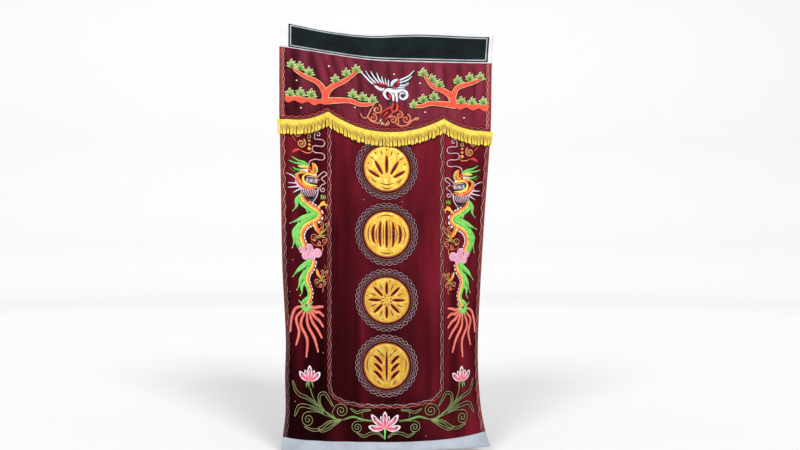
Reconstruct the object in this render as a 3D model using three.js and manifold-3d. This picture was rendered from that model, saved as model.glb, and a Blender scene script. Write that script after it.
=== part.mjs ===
// A hanging funeral banner of maroon velvet: a long panel with four gold applique discs, a
// scalloped and fringed valance over its top, a white header band that carries a black strip,
// a white foot band, and braids along the edges. Millimetres, +Z up. The front faces -Y. The
// origin is the hanging point, in the middle of the header band's top edge.
//
// Every piece is laid out on flat cloth first, in two flat coordinates: "across" runs from the
// middle line to the right and "down" from the velvet's top edge towards the hem. place() then
// carries a flat point to where it hangs, "lift" in front of the middle of the velvet panel.

import * as THREE from "three";
import { mergeVertices } from "three/addons/utils/BufferGeometryUtils.js";
import Module from "manifold-3d";

const wasm = await Module();
wasm.setup();

// ---- Driving dimensions ----

const CLOTH_WIDTH = 900;
const VELVET_LENGTH = 1600;
const HEADER_HEIGHT = 120;
const FOOT_HEIGHT = 65;
const SEAM_OVERLAP = 30; // how far the white bands reach behind the velvet

const VELVET_THICK = 2;
const COTTON_THICK = 1;
const BRAID_THICK = 1.5;
const DISC_THICK = 2;
const FRINGE_THICK = 3;
const GAP = 0.3;

const BRAID_WIDTH = 22;
const EDGE_MARGIN = 1; // velvet that shows outside a braid on its edge
const DISC_RADIUS = 94;
const DISC_PITCH = 276.5;
const FIRST_DISC_DOWN = 451;
const DISC_ACROSS = 3;

const HALF = CLOTH_WIDTH / 2;

// The braid round the middle field: two straight legs joined by half of a flattened oval.
const FIELD = { half: 239, top: 275, legEnd: 1355, bottom: 1451, squareness: 3 };

// The valance's lower edge: two peaks above the field's braids, and three hanging bows.
const SCALLOP = { peakAcross: 243, peakDown: 238, middleDown: 298, sideDown: 292, endDown: 297 };
const VALANCE_TURNING = 14; // valance cloth hidden behind the fringe's heading
const FRINGE_HEADING = 20;
const FRINGE_TEETH = 48;
const FRINGE_TOOTH_SHARE = 0.78; // the rest of each pitch is the gap between two teeth
const FRINGE_LENGTH = 61;
const FRINGE_PAST = 10; // how far its ends stand out past the cloth's edges

const STRIP = { left: -412, right: 432, top: 9, bottom: 6 }; // its margins on the header band
const HEADER_CORNER = { start: -412, drop: 54 }; // its rounded top left corner hangs down

// ---- Where the hung cloth's level lines lie, in height over the hanging point ----
// Four lines that are level on the flat cloth: the header's top, the velvet's top edge, the
// velvet's hem and the foot band's bottom. The left end hangs higher than the right.

const LEVEL_DOWN = {
  header: -HEADER_HEIGHT,
  velvetTop: 0,
  hem: VELVET_LENGTH,
  foot: VELVET_LENGTH + FOOT_HEIGHT,
};
const LEVELS = [
  { across: -450, header: 62, velvetTop: -54, hem: -1701, foot: -1768 },
  { across: -350, header: 37, velvetTop: -70, hem: -1712, foot: -1766 },
  { across: -250, header: 16, velvetTop: -87, hem: -1715, foot: -1764 },
  { across: -150, header: 2, velvetTop: -103, hem: -1717, foot: -1762 },
  { across: -50, header: -4, velvetTop: -115, hem: -1718, foot: -1760 },
  { across: 50, header: 0, velvetTop: -120, hem: -1718, foot: -1757 },
  { across: 150, header: 3, velvetTop: -123, hem: -1714, foot: -1754 },
  { across: 250, header: -1, velvetTop: -125, hem: -1707, foot: -1750 },
  { across: 350, header: -5, velvetTop: -126, hem: -1694, foot: -1746 },
  { across: 450, header: -6, velvetTop: -126, hem: -1677, foot: -1741 },
];

// Where the two long edges hang. The sides draw in towards the lower third and flare at the hem.
const SIDES = [
  { down: -120, left: -450, right: 455 },
  { down: 0, left: -449, right: 446 },
  { down: 300, left: -448, right: 440 },
  { down: 600, left: -443, right: 420 },
  { down: 900, left: -438, right: 402 },
  { down: 1200, left: -424, right: 389 },
  { down: 1350, left: -427, right: 390 },
  { down: 1500, left: -425, right: 401 },
  { down: 1600, left: -436, right: 420 },
  { down: 1665, left: -443, right: 441 },
];
const DRAW_IN_FROM = 200; // the middle of the cloth keeps its width out to here
const DRAW_IN_POWER = 1.8;

// ---- Folds ----
// Each is a soft ridge (depth over 0) or trough (under 0) that fades in below "from" and out
// above "to", and leans sideways by "lean" for each unit down.

const FOLD_FADE = 260;
const PANEL_FOLDS = [
  { across: -388, width: 42, depth: 9, from: 60, to: 1560, lean: 0.006 },
  { across: -300, width: 46, depth: -11, from: 120, to: 1700, lean: 0 },
  { across: -192, width: 40, depth: 8, from: 200, to: 1480, lean: 0.012 },
  { across: -152, width: 34, depth: -9, from: 860, to: 1700, lean: 0.01 },
  { across: 142, width: 38, depth: -7, from: 980, to: 1700, lean: 0.012 },
  { across: 196, width: 52, depth: 7, from: 260, to: 1640, lean: -0.01 },
  { across: 272, width: 38, depth: -9, from: 180, to: 1560, lean: 0 },
  { across: 342, width: 48, depth: 11, from: 120, to: 1620, lean: -0.008 },
  { across: 404, width: 30, depth: -7, from: 420, to: 1520, lean: 0 },
];

// The valance's folds start at its top seam and run out downwards. They only stand forward.
const VALANCE_FOLDS = [
  { across: -424, width: 15, depth: 4, reach: 150, lean: 0.1 },
  { across: -382, width: 18, depth: 5, reach: 300, lean: 0.06 },
  { across: -306, width: 17, depth: 8, reach: 190, lean: 0.32 },
  { across: -262, width: 13, depth: 5, reach: 130, lean: 0.36 },
  { across: -214, width: 17, depth: 8, reach: 210, lean: 0.34 },
  { across: -166, width: 14, depth: 5, reach: 140, lean: 0.3 },
  { across: -112, width: 18, depth: 6, reach: 320, lean: 0.14 },
  { across: -58, width: 14, depth: 4, reach: 150, lean: 0.1 },
  { across: 22, width: 17, depth: 6, reach: 240, lean: 0.05 },
  { across: 84, width: 15, depth: 4, reach: 330, lean: 0.04 },
  { across: 146, width: 20, depth: 6, reach: 330, lean: 0.03 },
  { across: 206, width: 16, depth: 5, reach: 200, lean: 0.08 },
  { across: 258, width: 15, depth: 6, reach: 330, lean: 0.04 },
  { across: 322, width: 18, depth: 6, reach: 260, lean: 0.05 },
  { across: 386, width: 16, depth: 5, reach: 320, lean: 0.02 },
];
const VALANCE_BILLOW = 7; // how far its lower edge stands off the panel, besides its folds

const FLAT_HALF = 100; // the strip under the stiff discs hangs flat out to here
const FLAT_FADE = 50;
const BOW = 16; // how far the middle of the cloth stands forward of its sides
const EDGE_CURL = { from: 320, depth: 20, peakDown: 1240, spread: 480 };
const HEADER_CURL = { from: -270, reach: 180, depth: 16 };

// ---- Small functions for smooth shapes ----

const lerp = THREE.MathUtils.lerp;
const smooth = (value, low, high) => THREE.MathUtils.smoothstep(value, low, high);
const bell = (offset, width) => Math.exp(-((offset / width) ** 2));

// Reads a table smoothly: a cubic through its rows, with each slope set by a row's neighbours.
function readTable(rows, key, column, at) {
  const last = rows.length - 1;
  const found = rows.findIndex((row) => row[key] > at);
  const i = found < 0 ? last - 1 : Math.max(0, found - 1);
  const slope = (k) => {
    const before = rows[Math.max(0, k - 1)];
    const after = rows[Math.min(last, k + 1)];
    return (after[column] - before[column]) / (after[key] - before[key]);
  };
  const [a, b] = [rows[i], rows[i + 1]];
  const span = b[key] - a[key];
  const t = THREE.MathUtils.clamp((at - a[key]) / span, 0, 1);
  const s = t * t * (3 - 2 * t);
  const bulge = t * (1 - t) * span * (slope(i) * (1 - t) - slope(i + 1) * t);
  return lerp(a[column], b[column], s) + bulge;
}

// ---- Hanging the flat cloth ----

// Height of a flat point: between the two level lines that it lies between.
function heightOf(across, down) {
  const names = Object.keys(LEVEL_DOWN);
  let i = 0;
  while (i < names.length - 2 && down > LEVEL_DOWN[names[i + 1]]) {
    i += 1;
  }
  const [above, below] = [names[i], names[i + 1]];
  const share = (down - LEVEL_DOWN[above]) / (LEVEL_DOWN[below] - LEVEL_DOWN[above]);
  const top = readTable(LEVELS, "across", above, across);
  const bottom = readTable(LEVELS, "across", below, across);
  return lerp(top, bottom, share);
}

// Sideways place of a flat point: the outer parts draw in with their edge.
function sidewaysOf(across, down) {
  const side = across < 0 ? "left" : "right";
  const edge = readTable(SIDES, "down", side, down);
  const out = Math.max(0, (Math.abs(across) - DRAW_IN_FROM) / (HALF - DRAW_IN_FROM));
  return across + (edge - Math.sign(across) * HALF) * out ** DRAW_IN_POWER;
}

function fold(row, across, down) {
  const fade = smooth(down, row.from, row.from + FOLD_FADE) *
    (1 - smooth(down, row.to - FOLD_FADE, row.to));
  return row.depth * fade * bell(across - row.across - row.lean * down, row.width);
}

// How far forward of the hanging plane the velvet panel lies.
function panelDepth(across, down) {
  const side = Math.abs(across);
  const loose = smooth(side, FLAT_HALF, FLAT_HALF + FLAT_FADE);
  const folds = loose * PANEL_FOLDS.reduce((sum, row) => sum + fold(row, across, down), 0);
  const bow = -BOW * (Math.max(0, side - FLAT_HALF) / (HALF - FLAT_HALF)) ** 2;
  const out = Math.max(0, (side - EDGE_CURL.from) / (HALF - EDGE_CURL.from));
  const curl = -EDGE_CURL.depth * out ** 2 * bell(down - EDGE_CURL.peakDown, EDGE_CURL.spread);
  const corner = Math.max(0, (HEADER_CURL.from - across) / HEADER_CURL.reach);
  const lean = HEADER_CURL.depth * corner ** 2 * (Math.min(0, down) / HEADER_HEIGHT);
  return folds + bow + curl + lean;
}

// How far the valance stands off the panel, at any place below their common top seam.
function valanceStandOff(across, down) {
  const folds = VALANCE_FOLDS.reduce((sum, row) => {
    const fade = smooth(down, -30, 40) * (1 - smooth(down, row.reach * 0.35, row.reach));
    return sum + row.depth * fade * bell(across - row.across - row.lean * down, row.width);
  }, 0);
  return folds + VALANCE_BILLOW * smooth(down, 0, 260);
}

// The unshifted place of a flat point, "lift" in front of a cloth with that depth function.
function place(across, down, lift, depthOf) {
  const at = (a, d) => new THREE.Vector3(sidewaysOf(a, d), -depthOf(a, d), heightOf(a, d));
  const step = 1;
  const rightwards = at(across + step, down).sub(at(across - step, down));
  const downwards = at(across, down + step).sub(at(across, down - step));
  const forward = downwards.cross(rightwards).normalize();
  return at(across, down).addScaledVector(forward, lift);
}

const panelSurface = (across, down, lift) => place(across, down, lift, panelDepth);
const valanceDepth = (across, down) => panelDepth(across, down) + valanceStandOff(across, down);
const valanceSurface = (across, down, lift) => place(across, down, lift, valanceDepth);

// ---- Layers, from back to front, as lifts from the middle of the velvet ----

const FRONT = VELVET_THICK / 2;
const BACK_CLOTH = { back: -FRONT - GAP - COTTON_THICK, front: -FRONT - GAP };
const STRIP_LAYER = { back: -FRONT, front: -FRONT + COTTON_THICK };
const VELVET = { back: -FRONT, front: FRONT };
const BRAID = { back: FRONT + GAP, front: FRONT + GAP + BRAID_THICK };
const DISC = { back: FRONT + GAP, front: FRONT + GAP + DISC_THICK };
const VALANCE_LIFT = VELVET_THICK + GAP;
const VALANCE = { back: VALANCE_LIFT - FRONT, front: VALANCE_LIFT + FRONT };
const VALANCE_BRAID = { back: VALANCE.front + GAP, front: VALANCE.front + GAP + BRAID_THICK };
const FRINGE = { back: VALANCE.front + GAP, front: VALANCE.front + GAP + FRINGE_THICK };

// ---- Building solids ----

// Even stops from one value to another.
const stops = (from, to, count) =>
  Array.from({ length: count + 1 }, (_, i) => lerp(from, to, i / count));

// The stops at which each cloth bends. Layers that lie close together share them.
const SIDE_ACROSS = [
  ...stops(FLAT_HALF, 230, 6), ...stops(256, 424, 8), HALF,
];
const MIDDLE_ACROSS = [-50, 0, 50];
const PANEL_ACROSS = [
  ...SIDE_ACROSS.map((across) => -across).reverse(), ...MIDDLE_ACROSS, ...SIDE_ACROSS,
];
const VALANCE_ACROSS = stops(-HALF, HALF, FRINGE_TEETH);
const VALANCE_DOWN = [0, 75, 150, 240, 384];
const PANEL_DOWN = [
  0, 120, 240, 384, ...stops(510, VELVET_LENGTH - SEAM_OVERLAP, 7), VELVET_LENGTH,
];
const HEADER_DOWN = [-HEADER_HEIGHT, 0, PANEL_DOWN[1]];
const FOOT_DOWN = [VELVET_LENGTH - SEAM_OVERLAP, VELVET_LENGTH, VELVET_LENGTH + FOOT_HEIGHT];
const STRIP_DOWN = [STRIP.top - HEADER_HEIGHT, -STRIP.bottom];
const STRIP_ACROSS = [
  STRIP.left, ...PANEL_ACROSS.filter((at) => at > STRIP.left && at < STRIP.right), STRIP.right,
];

const PANEL_CLOTH = { surface: panelSurface, acrosses: PANEL_ACROSS, downs: PANEL_DOWN };
const HEADER_CLOTH = { surface: panelSurface, acrosses: PANEL_ACROSS, downs: HEADER_DOWN };
const STRIP_CLOTH = { surface: panelSurface, acrosses: STRIP_ACROSS, downs: STRIP_DOWN };
const FOOT_CLOTH = { surface: panelSurface, acrosses: PANEL_ACROSS, downs: FOOT_DOWN };
const VALANCE_CLOTH = { surface: valanceSurface, acrosses: VALANCE_ACROSS, downs: VALANCE_DOWN };

// A closed sheet over the whole of a cloth's stops, between two lifts.
function sheet({ surface, acrosses, downs }, layer) {
  const points = [layer.front, layer.back].flatMap((lift) => downs.flatMap((down) =>
    acrosses.flatMap((across) => surface(across, down, lift).toArray())));
  const wide = acrosses.length;
  const columns = acrosses.length - 1;
  const rows = downs.length - 1;
  const backStart = wide * downs.length;
  const faces = [];
  const quad = (a, b, c, d) => faces.push(a, b, c, a, c, d);
  for (let r = 0; r < rows; r += 1) {
    for (let c = 0; c < columns; c += 1) {
      const corner = r * wide + c;
      quad(corner, corner + wide, corner + wide + 1, corner + 1);
      const behind = corner + backStart;
      quad(behind, behind + 1, behind + wide + 1, behind + wide);
    }
  }
  const rim = (from, to) => quad(from, to, to + backStart, from + backStart);
  for (let c = 0; c < columns; c += 1) {
    rim(c, c + 1);
    rim(rows * wide + c + 1, rows * wide + c);
  }
  for (let r = 0; r < rows; r += 1) {
    rim((r + 1) * wide, r * wide);
    rim(r * wide + columns, (r + 1) * wide + columns);
  }
  const geometry = new THREE.BufferGeometry();
  geometry.setAttribute("position", new THREE.Float32BufferAttribute(points, 3));
  geometry.setIndex(faces);
  return geometry;
}

function toManifold(geometry) {
  geometry.deleteAttribute("normal");
  geometry.deleteAttribute("uv");
  const merged = mergeVertices(geometry, 1e-4);
  return new wasm.Manifold(new wasm.Mesh({
    numProp: 3,
    vertProperties: merged.attributes.position.array,
    triVerts: Uint32Array.from(merged.index.array),
  }));
}

function toGeometry(manifold) {
  const mesh = manifold.getMesh();
  const geometry = new THREE.BufferGeometry();
  geometry.setAttribute("position", new THREE.BufferAttribute(mesh.vertProperties, 3));
  geometry.setIndex(new THREE.BufferAttribute(mesh.triVerts, 1));
  return geometry;
}

// An upright cutter: a flat outline with its holes, hung, and extended straight back and forth.
const CUTTER_DEPTH = 300;
function cutter(surface, outline, holes = []) {
  const hung = (points) => points.map(([across, down]) => {
    const { x, z } = surface(across, down, 0);
    return new THREE.Vector2(x, z);
  });
  const shape = new THREE.Shape(hung(outline));
  shape.holes = holes.map((hole) => new THREE.Path(hung(hole)));
  const block = new THREE.ExtrudeGeometry(shape, { depth: CUTTER_DEPTH, bevelEnabled: false });
  block.rotateX(Math.PI / 2);
  block.translate(0, CUTTER_DEPTH / 2, 0);
  return toManifold(block);
}

// A piece cut to a flat outline, with holes, from a layer of a cloth.
function cutPiece(cloth, layer, outline, holes) {
  const whole = toManifold(sheet(cloth, layer));
  return toGeometry(whole.intersect(cutter(cloth.surface, outline, holes)));
}

// ---- The scalloped edge ----

// Down to the valance's edge line, where the fringe starts.
function scallop(across) {
  const out = Math.abs(across);
  const { peakAcross, peakDown, middleDown, sideDown, endDown } = SCALLOP;
  if (out < peakAcross) {
    return middleDown - (middleDown - peakDown) * (out / peakAcross) ** 2.2;
  }
  const share = (out - peakAcross) / (HALF - peakAcross);
  const bowed = lerp(peakDown, sideDown, 1 - (1 - Math.min(1, share / 0.75)) ** 1.8);
  return bowed + (endDown - sideDown) * smooth(share, 0.75, 1);
}

// Stops along the scallop from left to right, with one on each peak.
function scallopStops(reach) {
  const { peakAcross } = SCALLOP;
  return [
    ...stops(-reach, -peakAcross, 6),
    ...stops(-peakAcross, peakAcross, 12).slice(1),
    ...stops(peakAcross, reach, 6).slice(1),
  ];
}

// ---- Pieces ----

function valancePanel() {
  const edge = scallopStops(HALF + 5).map((across) => [across, scallop(across) + VALANCE_TURNING]);
  const above = [[HALF + 5, -5], [-HALF - 5, -5]];
  return cutPiece(VALANCE_CLOTH, VALANCE, [...edge, ...above]);
}

// One comb: a heading tape along the scallop, and a tooth for each bunch of strands.
function fringeComb() {
  const pitch = CLOTH_WIDTH / FRINGE_TEETH;
  const space = (pitch * (1 - FRINGE_TOOTH_SHARE)) / 2;
  const reach = HALF + FRINGE_PAST;
  const top = scallopStops(reach).map((across) => [across, scallop(across)]);
  const teeth = [];
  for (let i = FRINGE_TEETH - 1; i >= 0; i -= 1) {
    const left = i > 0 ? -HALF + i * pitch + space : -reach;
    const right = i < FRINGE_TEETH - 1 ? -HALF + (i + 1) * pitch - space : reach;
    const uneven = 2.5 * Math.sin(i * 2.4) + 1.5 * Math.sin(i * 0.9);
    const root = (across) => scallop(across) + FRINGE_HEADING;
    const tip = (across) => scallop(across) + FRINGE_LENGTH + uneven;
    teeth.push([right, root(right)], [right, tip(right)], [left, tip(left)], [left, root(left)]);
  }
  const acrosses = [-reach - 1, ...VALANCE_ACROSS, reach + 1];
  const cloth = { ...VALANCE_CLOTH, acrosses, downs: VALANCE_DOWN.slice(-3) };
  return cutPiece(cloth, FRINGE, [...top, ...teeth]);
}

// A ribbon between two lines of flat points that run side by side.
const ribbon = (outer, inner) => [...outer, ...inner.slice().reverse()];

function valanceBraid() {
  const outerReach = HALF - EDGE_MARGIN;
  const innerReach = outerReach - BRAID_WIDTH;
  const clear = 2;
  const outer = scallopStops(outerReach).map((across) => [across, scallop(across) - clear]);
  const inner = scallopStops(innerReach).map((across) =>
    [across, scallop(across) - clear - BRAID_WIDTH]);
  const outline = ribbon(
    [[-outerReach, EDGE_MARGIN], ...outer, [outerReach, EDGE_MARGIN]],
    [[-innerReach, EDGE_MARGIN], ...inner, [innerReach, EDGE_MARGIN]],
  );
  return cutPiece(VALANCE_CLOTH, VALANCE_BRAID, outline);
}

function sideBraid(side) {
  const outer = side * (HALF - EDGE_MARGIN);
  const inner = side * (HALF - EDGE_MARGIN - BRAID_WIDTH);
  const downs = stops(FIELD.top, VELVET_LENGTH - 2, 12);
  const outline = ribbon(downs.map((down) => [outer, down]), downs.map((down) => [inner, down]));
  return cutPiece({ ...PANEL_CLOTH, downs: PANEL_DOWN.slice(2) }, BRAID, outline);
}

// The line round the middle field, "inset" inside it, from the top left to the top right.
function fieldLine(inset) {
  const half = FIELD.half - inset;
  const depth = FIELD.bottom - inset - FIELD.legEnd;
  const legs = stops(FIELD.top, FIELD.legEnd, 6).slice(0, -1);
  const left = legs.map((down) => [-half, down]);
  const rounded = (value) => Math.sign(value) * Math.abs(value) ** (2 / FIELD.squareness);
  const turn = stops(Math.PI, 0, 18).map((angle) =>
    [half * rounded(Math.cos(angle)), FIELD.legEnd + depth * rounded(Math.sin(angle))]);
  const right = legs.map((down) => [half, down]).reverse();
  return [...left, ...turn, ...right];
}

function panelBraid() {
  const outline = ribbon(fieldLine(-BRAID_WIDTH / 2), fieldLine(BRAID_WIDTH / 2));
  return cutPiece({ ...PANEL_CLOTH, downs: PANEL_DOWN.slice(2) }, BRAID, outline);
}

// ---- The pierced gold discs ----
// A slot is a leaf: "along" is half its length, "wide" half its width, and "bow" bends it
// sideways. "x" and "y" (up) place its middle and "turn" (degrees) leans it from upright to the
// right, all as shares of the disc's radius.

const SLOT_POINTS = 4; // on each long side
function slotOutline({ x, y, along, wide, bow = 0, turn = 0 }) {
  const lean = THREE.MathUtils.degToRad(turn);
  const side = (sign) => Array.from({ length: SLOT_POINTS }, (_, i) => {
    const t = i / SLOT_POINTS;
    const up = sign * along * Math.cos(Math.PI * t);
    const out = sign * wide * Math.sin(Math.PI * t) + bow * Math.sin(Math.PI * t);
    return [
      x + up * Math.sin(lean) + out * Math.cos(lean),
      y + up * Math.cos(lean) - out * Math.sin(lean),
    ];
  });
  return [...side(1), ...side(-1)];
}

// A palmette: leaves that fan out from a point near the disc's foot.
function palmette() {
  return [-60, -30, 0, 30, 60].map((turn) => {
    const lean = THREE.MathUtils.degToRad(turn);
    const along = 0.4 - 0.0018 * Math.abs(turn);
    const reach = 0.36 + along;
    return {
      x: reach * Math.sin(lean), y: -0.58 + reach * Math.cos(lean), along, wide: 0.06, turn,
    };
  });
}

// A lantern: upright slots, bowed outwards like its ribs.
function lantern() {
  return [-2, -1, 0, 1, 2].map((k) => ({
    x: 0.25 * k,
    y: 0,
    along: 0.62 - 0.05 * k * k,
    wide: 0.06,
    bow: 0.06 * k,
  }));
}

// A rosette: petals round a small middle.
function rosette() {
  return Array.from({ length: 8 }, (_, k) => {
    const turn = k * 45;
    const lean = THREE.MathUtils.degToRad(turn);
    return { x: 0.53 * Math.sin(lean), y: 0.53 * Math.cos(lean), along: 0.29, wide: 0.06, turn };
  });
}

// A sprig: an upright stem slot with pairs of leaves.
function sprig() {
  const leaves = [-0.42, -0.08, 0.26].flatMap((y) => [-1, 1].map((side) => ({
    x: side * 0.4, y, along: 0.27, wide: 0.07, bow: -0.05 * side, turn: side * 44,
  })));
  return [{ x: 0, y: 0, along: 0.68, wide: 0.05 }, ...leaves];
}

const DISC_PATTERNS = [palmette, lantern, rosette, sprig];
const DISC_STEPS = 32;
const DISC_CLOTH = { ...PANEL_CLOTH, acrosses: [-FLAT_HALF, FLAT_HALF], downs: [240, 1500] };

function disc(index) {
  const middle = FIRST_DISC_DOWN + index * DISC_PITCH;
  const onCloth = ([x, y]) => [DISC_ACROSS + x * DISC_RADIUS, middle - y * DISC_RADIUS];
  const rim = stops(0, 2 * Math.PI, DISC_STEPS).slice(1).map((angle) =>
    onCloth([Math.cos(angle), Math.sin(angle)]));
  const holes = DISC_PATTERNS[index]().map((slot) => slotOutline(slot).map(onCloth));
  return cutPiece(DISC_CLOTH, DISC, rim, holes);
}

// ---- The white bands and the black strip ----

function headerBand() {
  const past = 5;
  const left = -HALF - 1;
  const corner = stops(0, Math.PI / 2, 6).map((angle) => [
    HEADER_CORNER.start + (left - HEADER_CORNER.start) * Math.sin(angle),
    -HEADER_HEIGHT - 1 + HEADER_CORNER.drop * (1 - Math.cos(angle)),
  ]);
  const outline = [
    ...corner, [left, SEAM_OVERLAP], [HALF + past, SEAM_OVERLAP],
    [HALF + past, -HEADER_HEIGHT - past], [HEADER_CORNER.start, -HEADER_HEIGHT - past],
  ];
  return cutPiece(HEADER_CLOTH, BACK_CLOTH, outline);
}

// ---- Materials ----

function cloth(color, roughness, metalness = 0) {
  return new THREE.MeshStandardMaterial({ color, roughness, metalness });
}

const MAROON_VELVET = cloth(0x6a1a26, 0.85);
const WHITE_COTTON = cloth(0xeeeef0, 0.9);
const GREY_WHITE_COTTON = cloth(0xc3c8d0, 0.9);
const BLACK_CLOTH = cloth(0x24292b, 0.8);
const YELLOW_RAYON = cloth(0xf0cf4e, 0.6);
const GOLD_SATIN = cloth(0xdba93c, 0.45, 0.2);
const RED_BRAID = cloth(0xb0393f, 0.7);

// ---- The banner ----

const banner = new THREE.Group();

function add(name, geometry, material) {
  const mesh = new THREE.Mesh(geometry, material);
  mesh.name = name;
  banner.add(mesh);
}

add("header_band", headerBand(), WHITE_COTTON);
add("black_strip", sheet(STRIP_CLOTH, STRIP_LAYER), BLACK_CLOTH);
add("main_panel", sheet(PANEL_CLOTH, VELVET), MAROON_VELVET);
add("valance", valancePanel(), MAROON_VELVET);
add("fringe", fringeComb(), YELLOW_RAYON);
add("foot_band", sheet(FOOT_CLOTH, BACK_CLOTH), GREY_WHITE_COTTON);
add("side_braid_left", sideBraid(-1), RED_BRAID);
add("side_braid_right", sideBraid(1), RED_BRAID);
add("panel_braid", panelBraid(), RED_BRAID);
add("valance_braid", valanceBraid(), RED_BRAID);
DISC_PATTERNS.forEach((pattern, index) => {
  add(`medallion_${index + 1}`, disc(index), GOLD_SATIN);
});

// The hanging point becomes the origin.
const headerMiddle = (BACK_CLOTH.back + BACK_CLOTH.front) / 2;
banner.position.copy(panelSurface(0, -HEADER_HEIGHT, headerMiddle)).negate();

export default banner;
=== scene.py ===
"""Looks of a hanging funeral banner: embroidered maroon velvet with a fringed valance, gold
applique discs, braids, a white header band with a black strip, and a white foot band.

Everything is drawn on flat cloth first, in millimetres: "across" runs from the middle line to
the right and "down" from the velvet's top edge to its hem. hang() carries flat points to where
they hang, in metres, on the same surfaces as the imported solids.
"""

import math

import bpy
import numpy as np
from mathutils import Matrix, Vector
from mathutils.geometry import delaunay_2d_cdt


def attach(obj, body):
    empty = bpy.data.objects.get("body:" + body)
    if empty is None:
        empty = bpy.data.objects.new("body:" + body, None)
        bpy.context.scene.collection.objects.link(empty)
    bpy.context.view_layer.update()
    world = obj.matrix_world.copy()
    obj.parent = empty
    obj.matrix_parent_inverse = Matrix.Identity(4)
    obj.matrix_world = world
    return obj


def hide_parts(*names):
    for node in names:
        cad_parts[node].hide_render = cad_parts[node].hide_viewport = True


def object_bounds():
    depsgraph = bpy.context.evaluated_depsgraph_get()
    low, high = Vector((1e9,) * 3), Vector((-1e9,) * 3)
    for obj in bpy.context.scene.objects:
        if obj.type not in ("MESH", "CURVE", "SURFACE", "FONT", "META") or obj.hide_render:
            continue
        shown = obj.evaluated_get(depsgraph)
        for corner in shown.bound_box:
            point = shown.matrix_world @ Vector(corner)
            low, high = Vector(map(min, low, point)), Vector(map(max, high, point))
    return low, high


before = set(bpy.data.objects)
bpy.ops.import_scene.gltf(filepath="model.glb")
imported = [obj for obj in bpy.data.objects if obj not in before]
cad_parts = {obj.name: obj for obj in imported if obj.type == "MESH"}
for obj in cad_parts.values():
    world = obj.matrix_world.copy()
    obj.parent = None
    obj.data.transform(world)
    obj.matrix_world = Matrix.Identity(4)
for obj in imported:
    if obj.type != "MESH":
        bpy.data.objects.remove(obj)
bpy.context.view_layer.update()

MM = 0.001
RNG = np.random.default_rng(7)

# ---------------------------------------------------------------- driving sizes, in mm

HALF = 450
VELVET_LENGTH = 1600
HEADER_HEIGHT = 120
FOOT_HEIGHT = 65
SEAM_OVERLAP = 30

VELVET_THICK = 2
COTTON_THICK = 1
GAP = 0.3
FRONT = VELVET_THICK / 2
VALANCE_LIFT = VELVET_THICK + GAP
BACK_CLOTH_MIDDLE = -FRONT - GAP - COTTON_THICK / 2

EDGE_MARGIN = 1
DISC_RADIUS = 94
DISC_PITCH = 276.5
FIRST_DISC_DOWN = 451
DISC_ACROSS = 3

FIELD = {"half": 239, "top": 262, "leg_end": 1355, "bottom": 1451, "squareness": 3}
SCALLOP = {"peak_across": 243, "peak_down": 238, "middle": 298, "side": 292, "end": 297}
VALANCE_TURNING = 14
FRINGE_LENGTH = 61
FRINGE_PAST = 10
FRINGE_CLUMP = 15
STRIP = {"left": -412, "right": 432, "top": 9, "bottom": 6}
HEADER_CORNER = {"start": -412, "drop": 54}

# ---------------------------------------------------------------- how the cloth hangs

LEVEL_DOWN = [-HEADER_HEIGHT, 0, VELVET_LENGTH, VELVET_LENGTH + FOOT_HEIGHT]
LEVEL_ACROSS = [-450, -350, -250, -150, -50, 50, 150, 250, 350, 450]
LEVEL_HEIGHTS = [
    [62, 37, 16, 2, -4, 0, 3, -1, -5, -6],  # the header's top edge
    [-54, -70, -87, -103, -115, -120, -123, -125, -126, -126],  # the velvet's top edge
    [-1701, -1712, -1715, -1717, -1718, -1718, -1714, -1707, -1694, -1677],  # the hem
    [-1768, -1766, -1764, -1762, -1760, -1757, -1754, -1750, -1746, -1741],  # the foot's edge
]
SIDE_DOWN = [-120, 0, 300, 600, 900, 1200, 1350, 1500, 1600, 1665]
LEFT_EDGE = [-450, -449, -448, -443, -438, -424, -427, -425, -436, -443]
RIGHT_EDGE = [455, 446, 440, 420, 402, 389, 390, 401, 420, 441]
DRAW_IN_FROM = 200
DRAW_IN_POWER = 1.8

FOLD_FADE = 260
# across, width, depth, from, to, lean
PANEL_FOLDS = [
    (-388, 42, 9, 60, 1560, 0.006),
    (-300, 46, -11, 120, 1700, 0),
    (-192, 40, 8, 200, 1480, 0.012),
    (-152, 34, -9, 860, 1700, 0.01),
    (142, 38, -7, 980, 1700, 0.012),
    (196, 52, 7, 260, 1640, -0.01),
    (272, 38, -9, 180, 1560, 0),
    (342, 48, 11, 120, 1620, -0.008),
    (404, 30, -7, 420, 1520, 0),
]
# across, width, depth, reach, lean
VALANCE_FOLDS = [
    (-424, 15, 4, 150, 0.1),
    (-382, 18, 5, 300, 0.06),
    (-306, 17, 8, 190, 0.32),
    (-262, 13, 5, 130, 0.36),
    (-214, 17, 8, 210, 0.34),
    (-166, 14, 5, 140, 0.3),
    (-112, 18, 6, 320, 0.14),
    (-58, 14, 4, 150, 0.1),
    (22, 17, 6, 240, 0.05),
    (84, 15, 4, 330, 0.04),
    (146, 20, 6, 330, 0.03),
    (206, 16, 5, 200, 0.08),
    (258, 15, 6, 330, 0.04),
    (322, 18, 6, 260, 0.05),
    (386, 16, 5, 320, 0.02),
]
# height, width, length, and its place in the noise across and down
RIPPLES = [(1.5, 34, 330, 3, 0), (0.7, 15, 150, 20, 5)]
HEM_WAVE = {"height": 2.5, "width": 60, "place": 9, "from": 1380, "to": 1640}
CREASE = {"height": 0.9, "width": 11, "length": 120, "place": 30, "left": 0.28, "right": 0.05}
VALANCE_BILLOW = 7
FLAT_HALF = 100
FLAT_FADE = 50
BOW = 16
EDGE_CURL = {"from": 320, "depth": 20, "peak_down": 1240, "spread": 480}
HEADER_CURL = {"from": -270, "reach": 180, "depth": 16}


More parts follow.
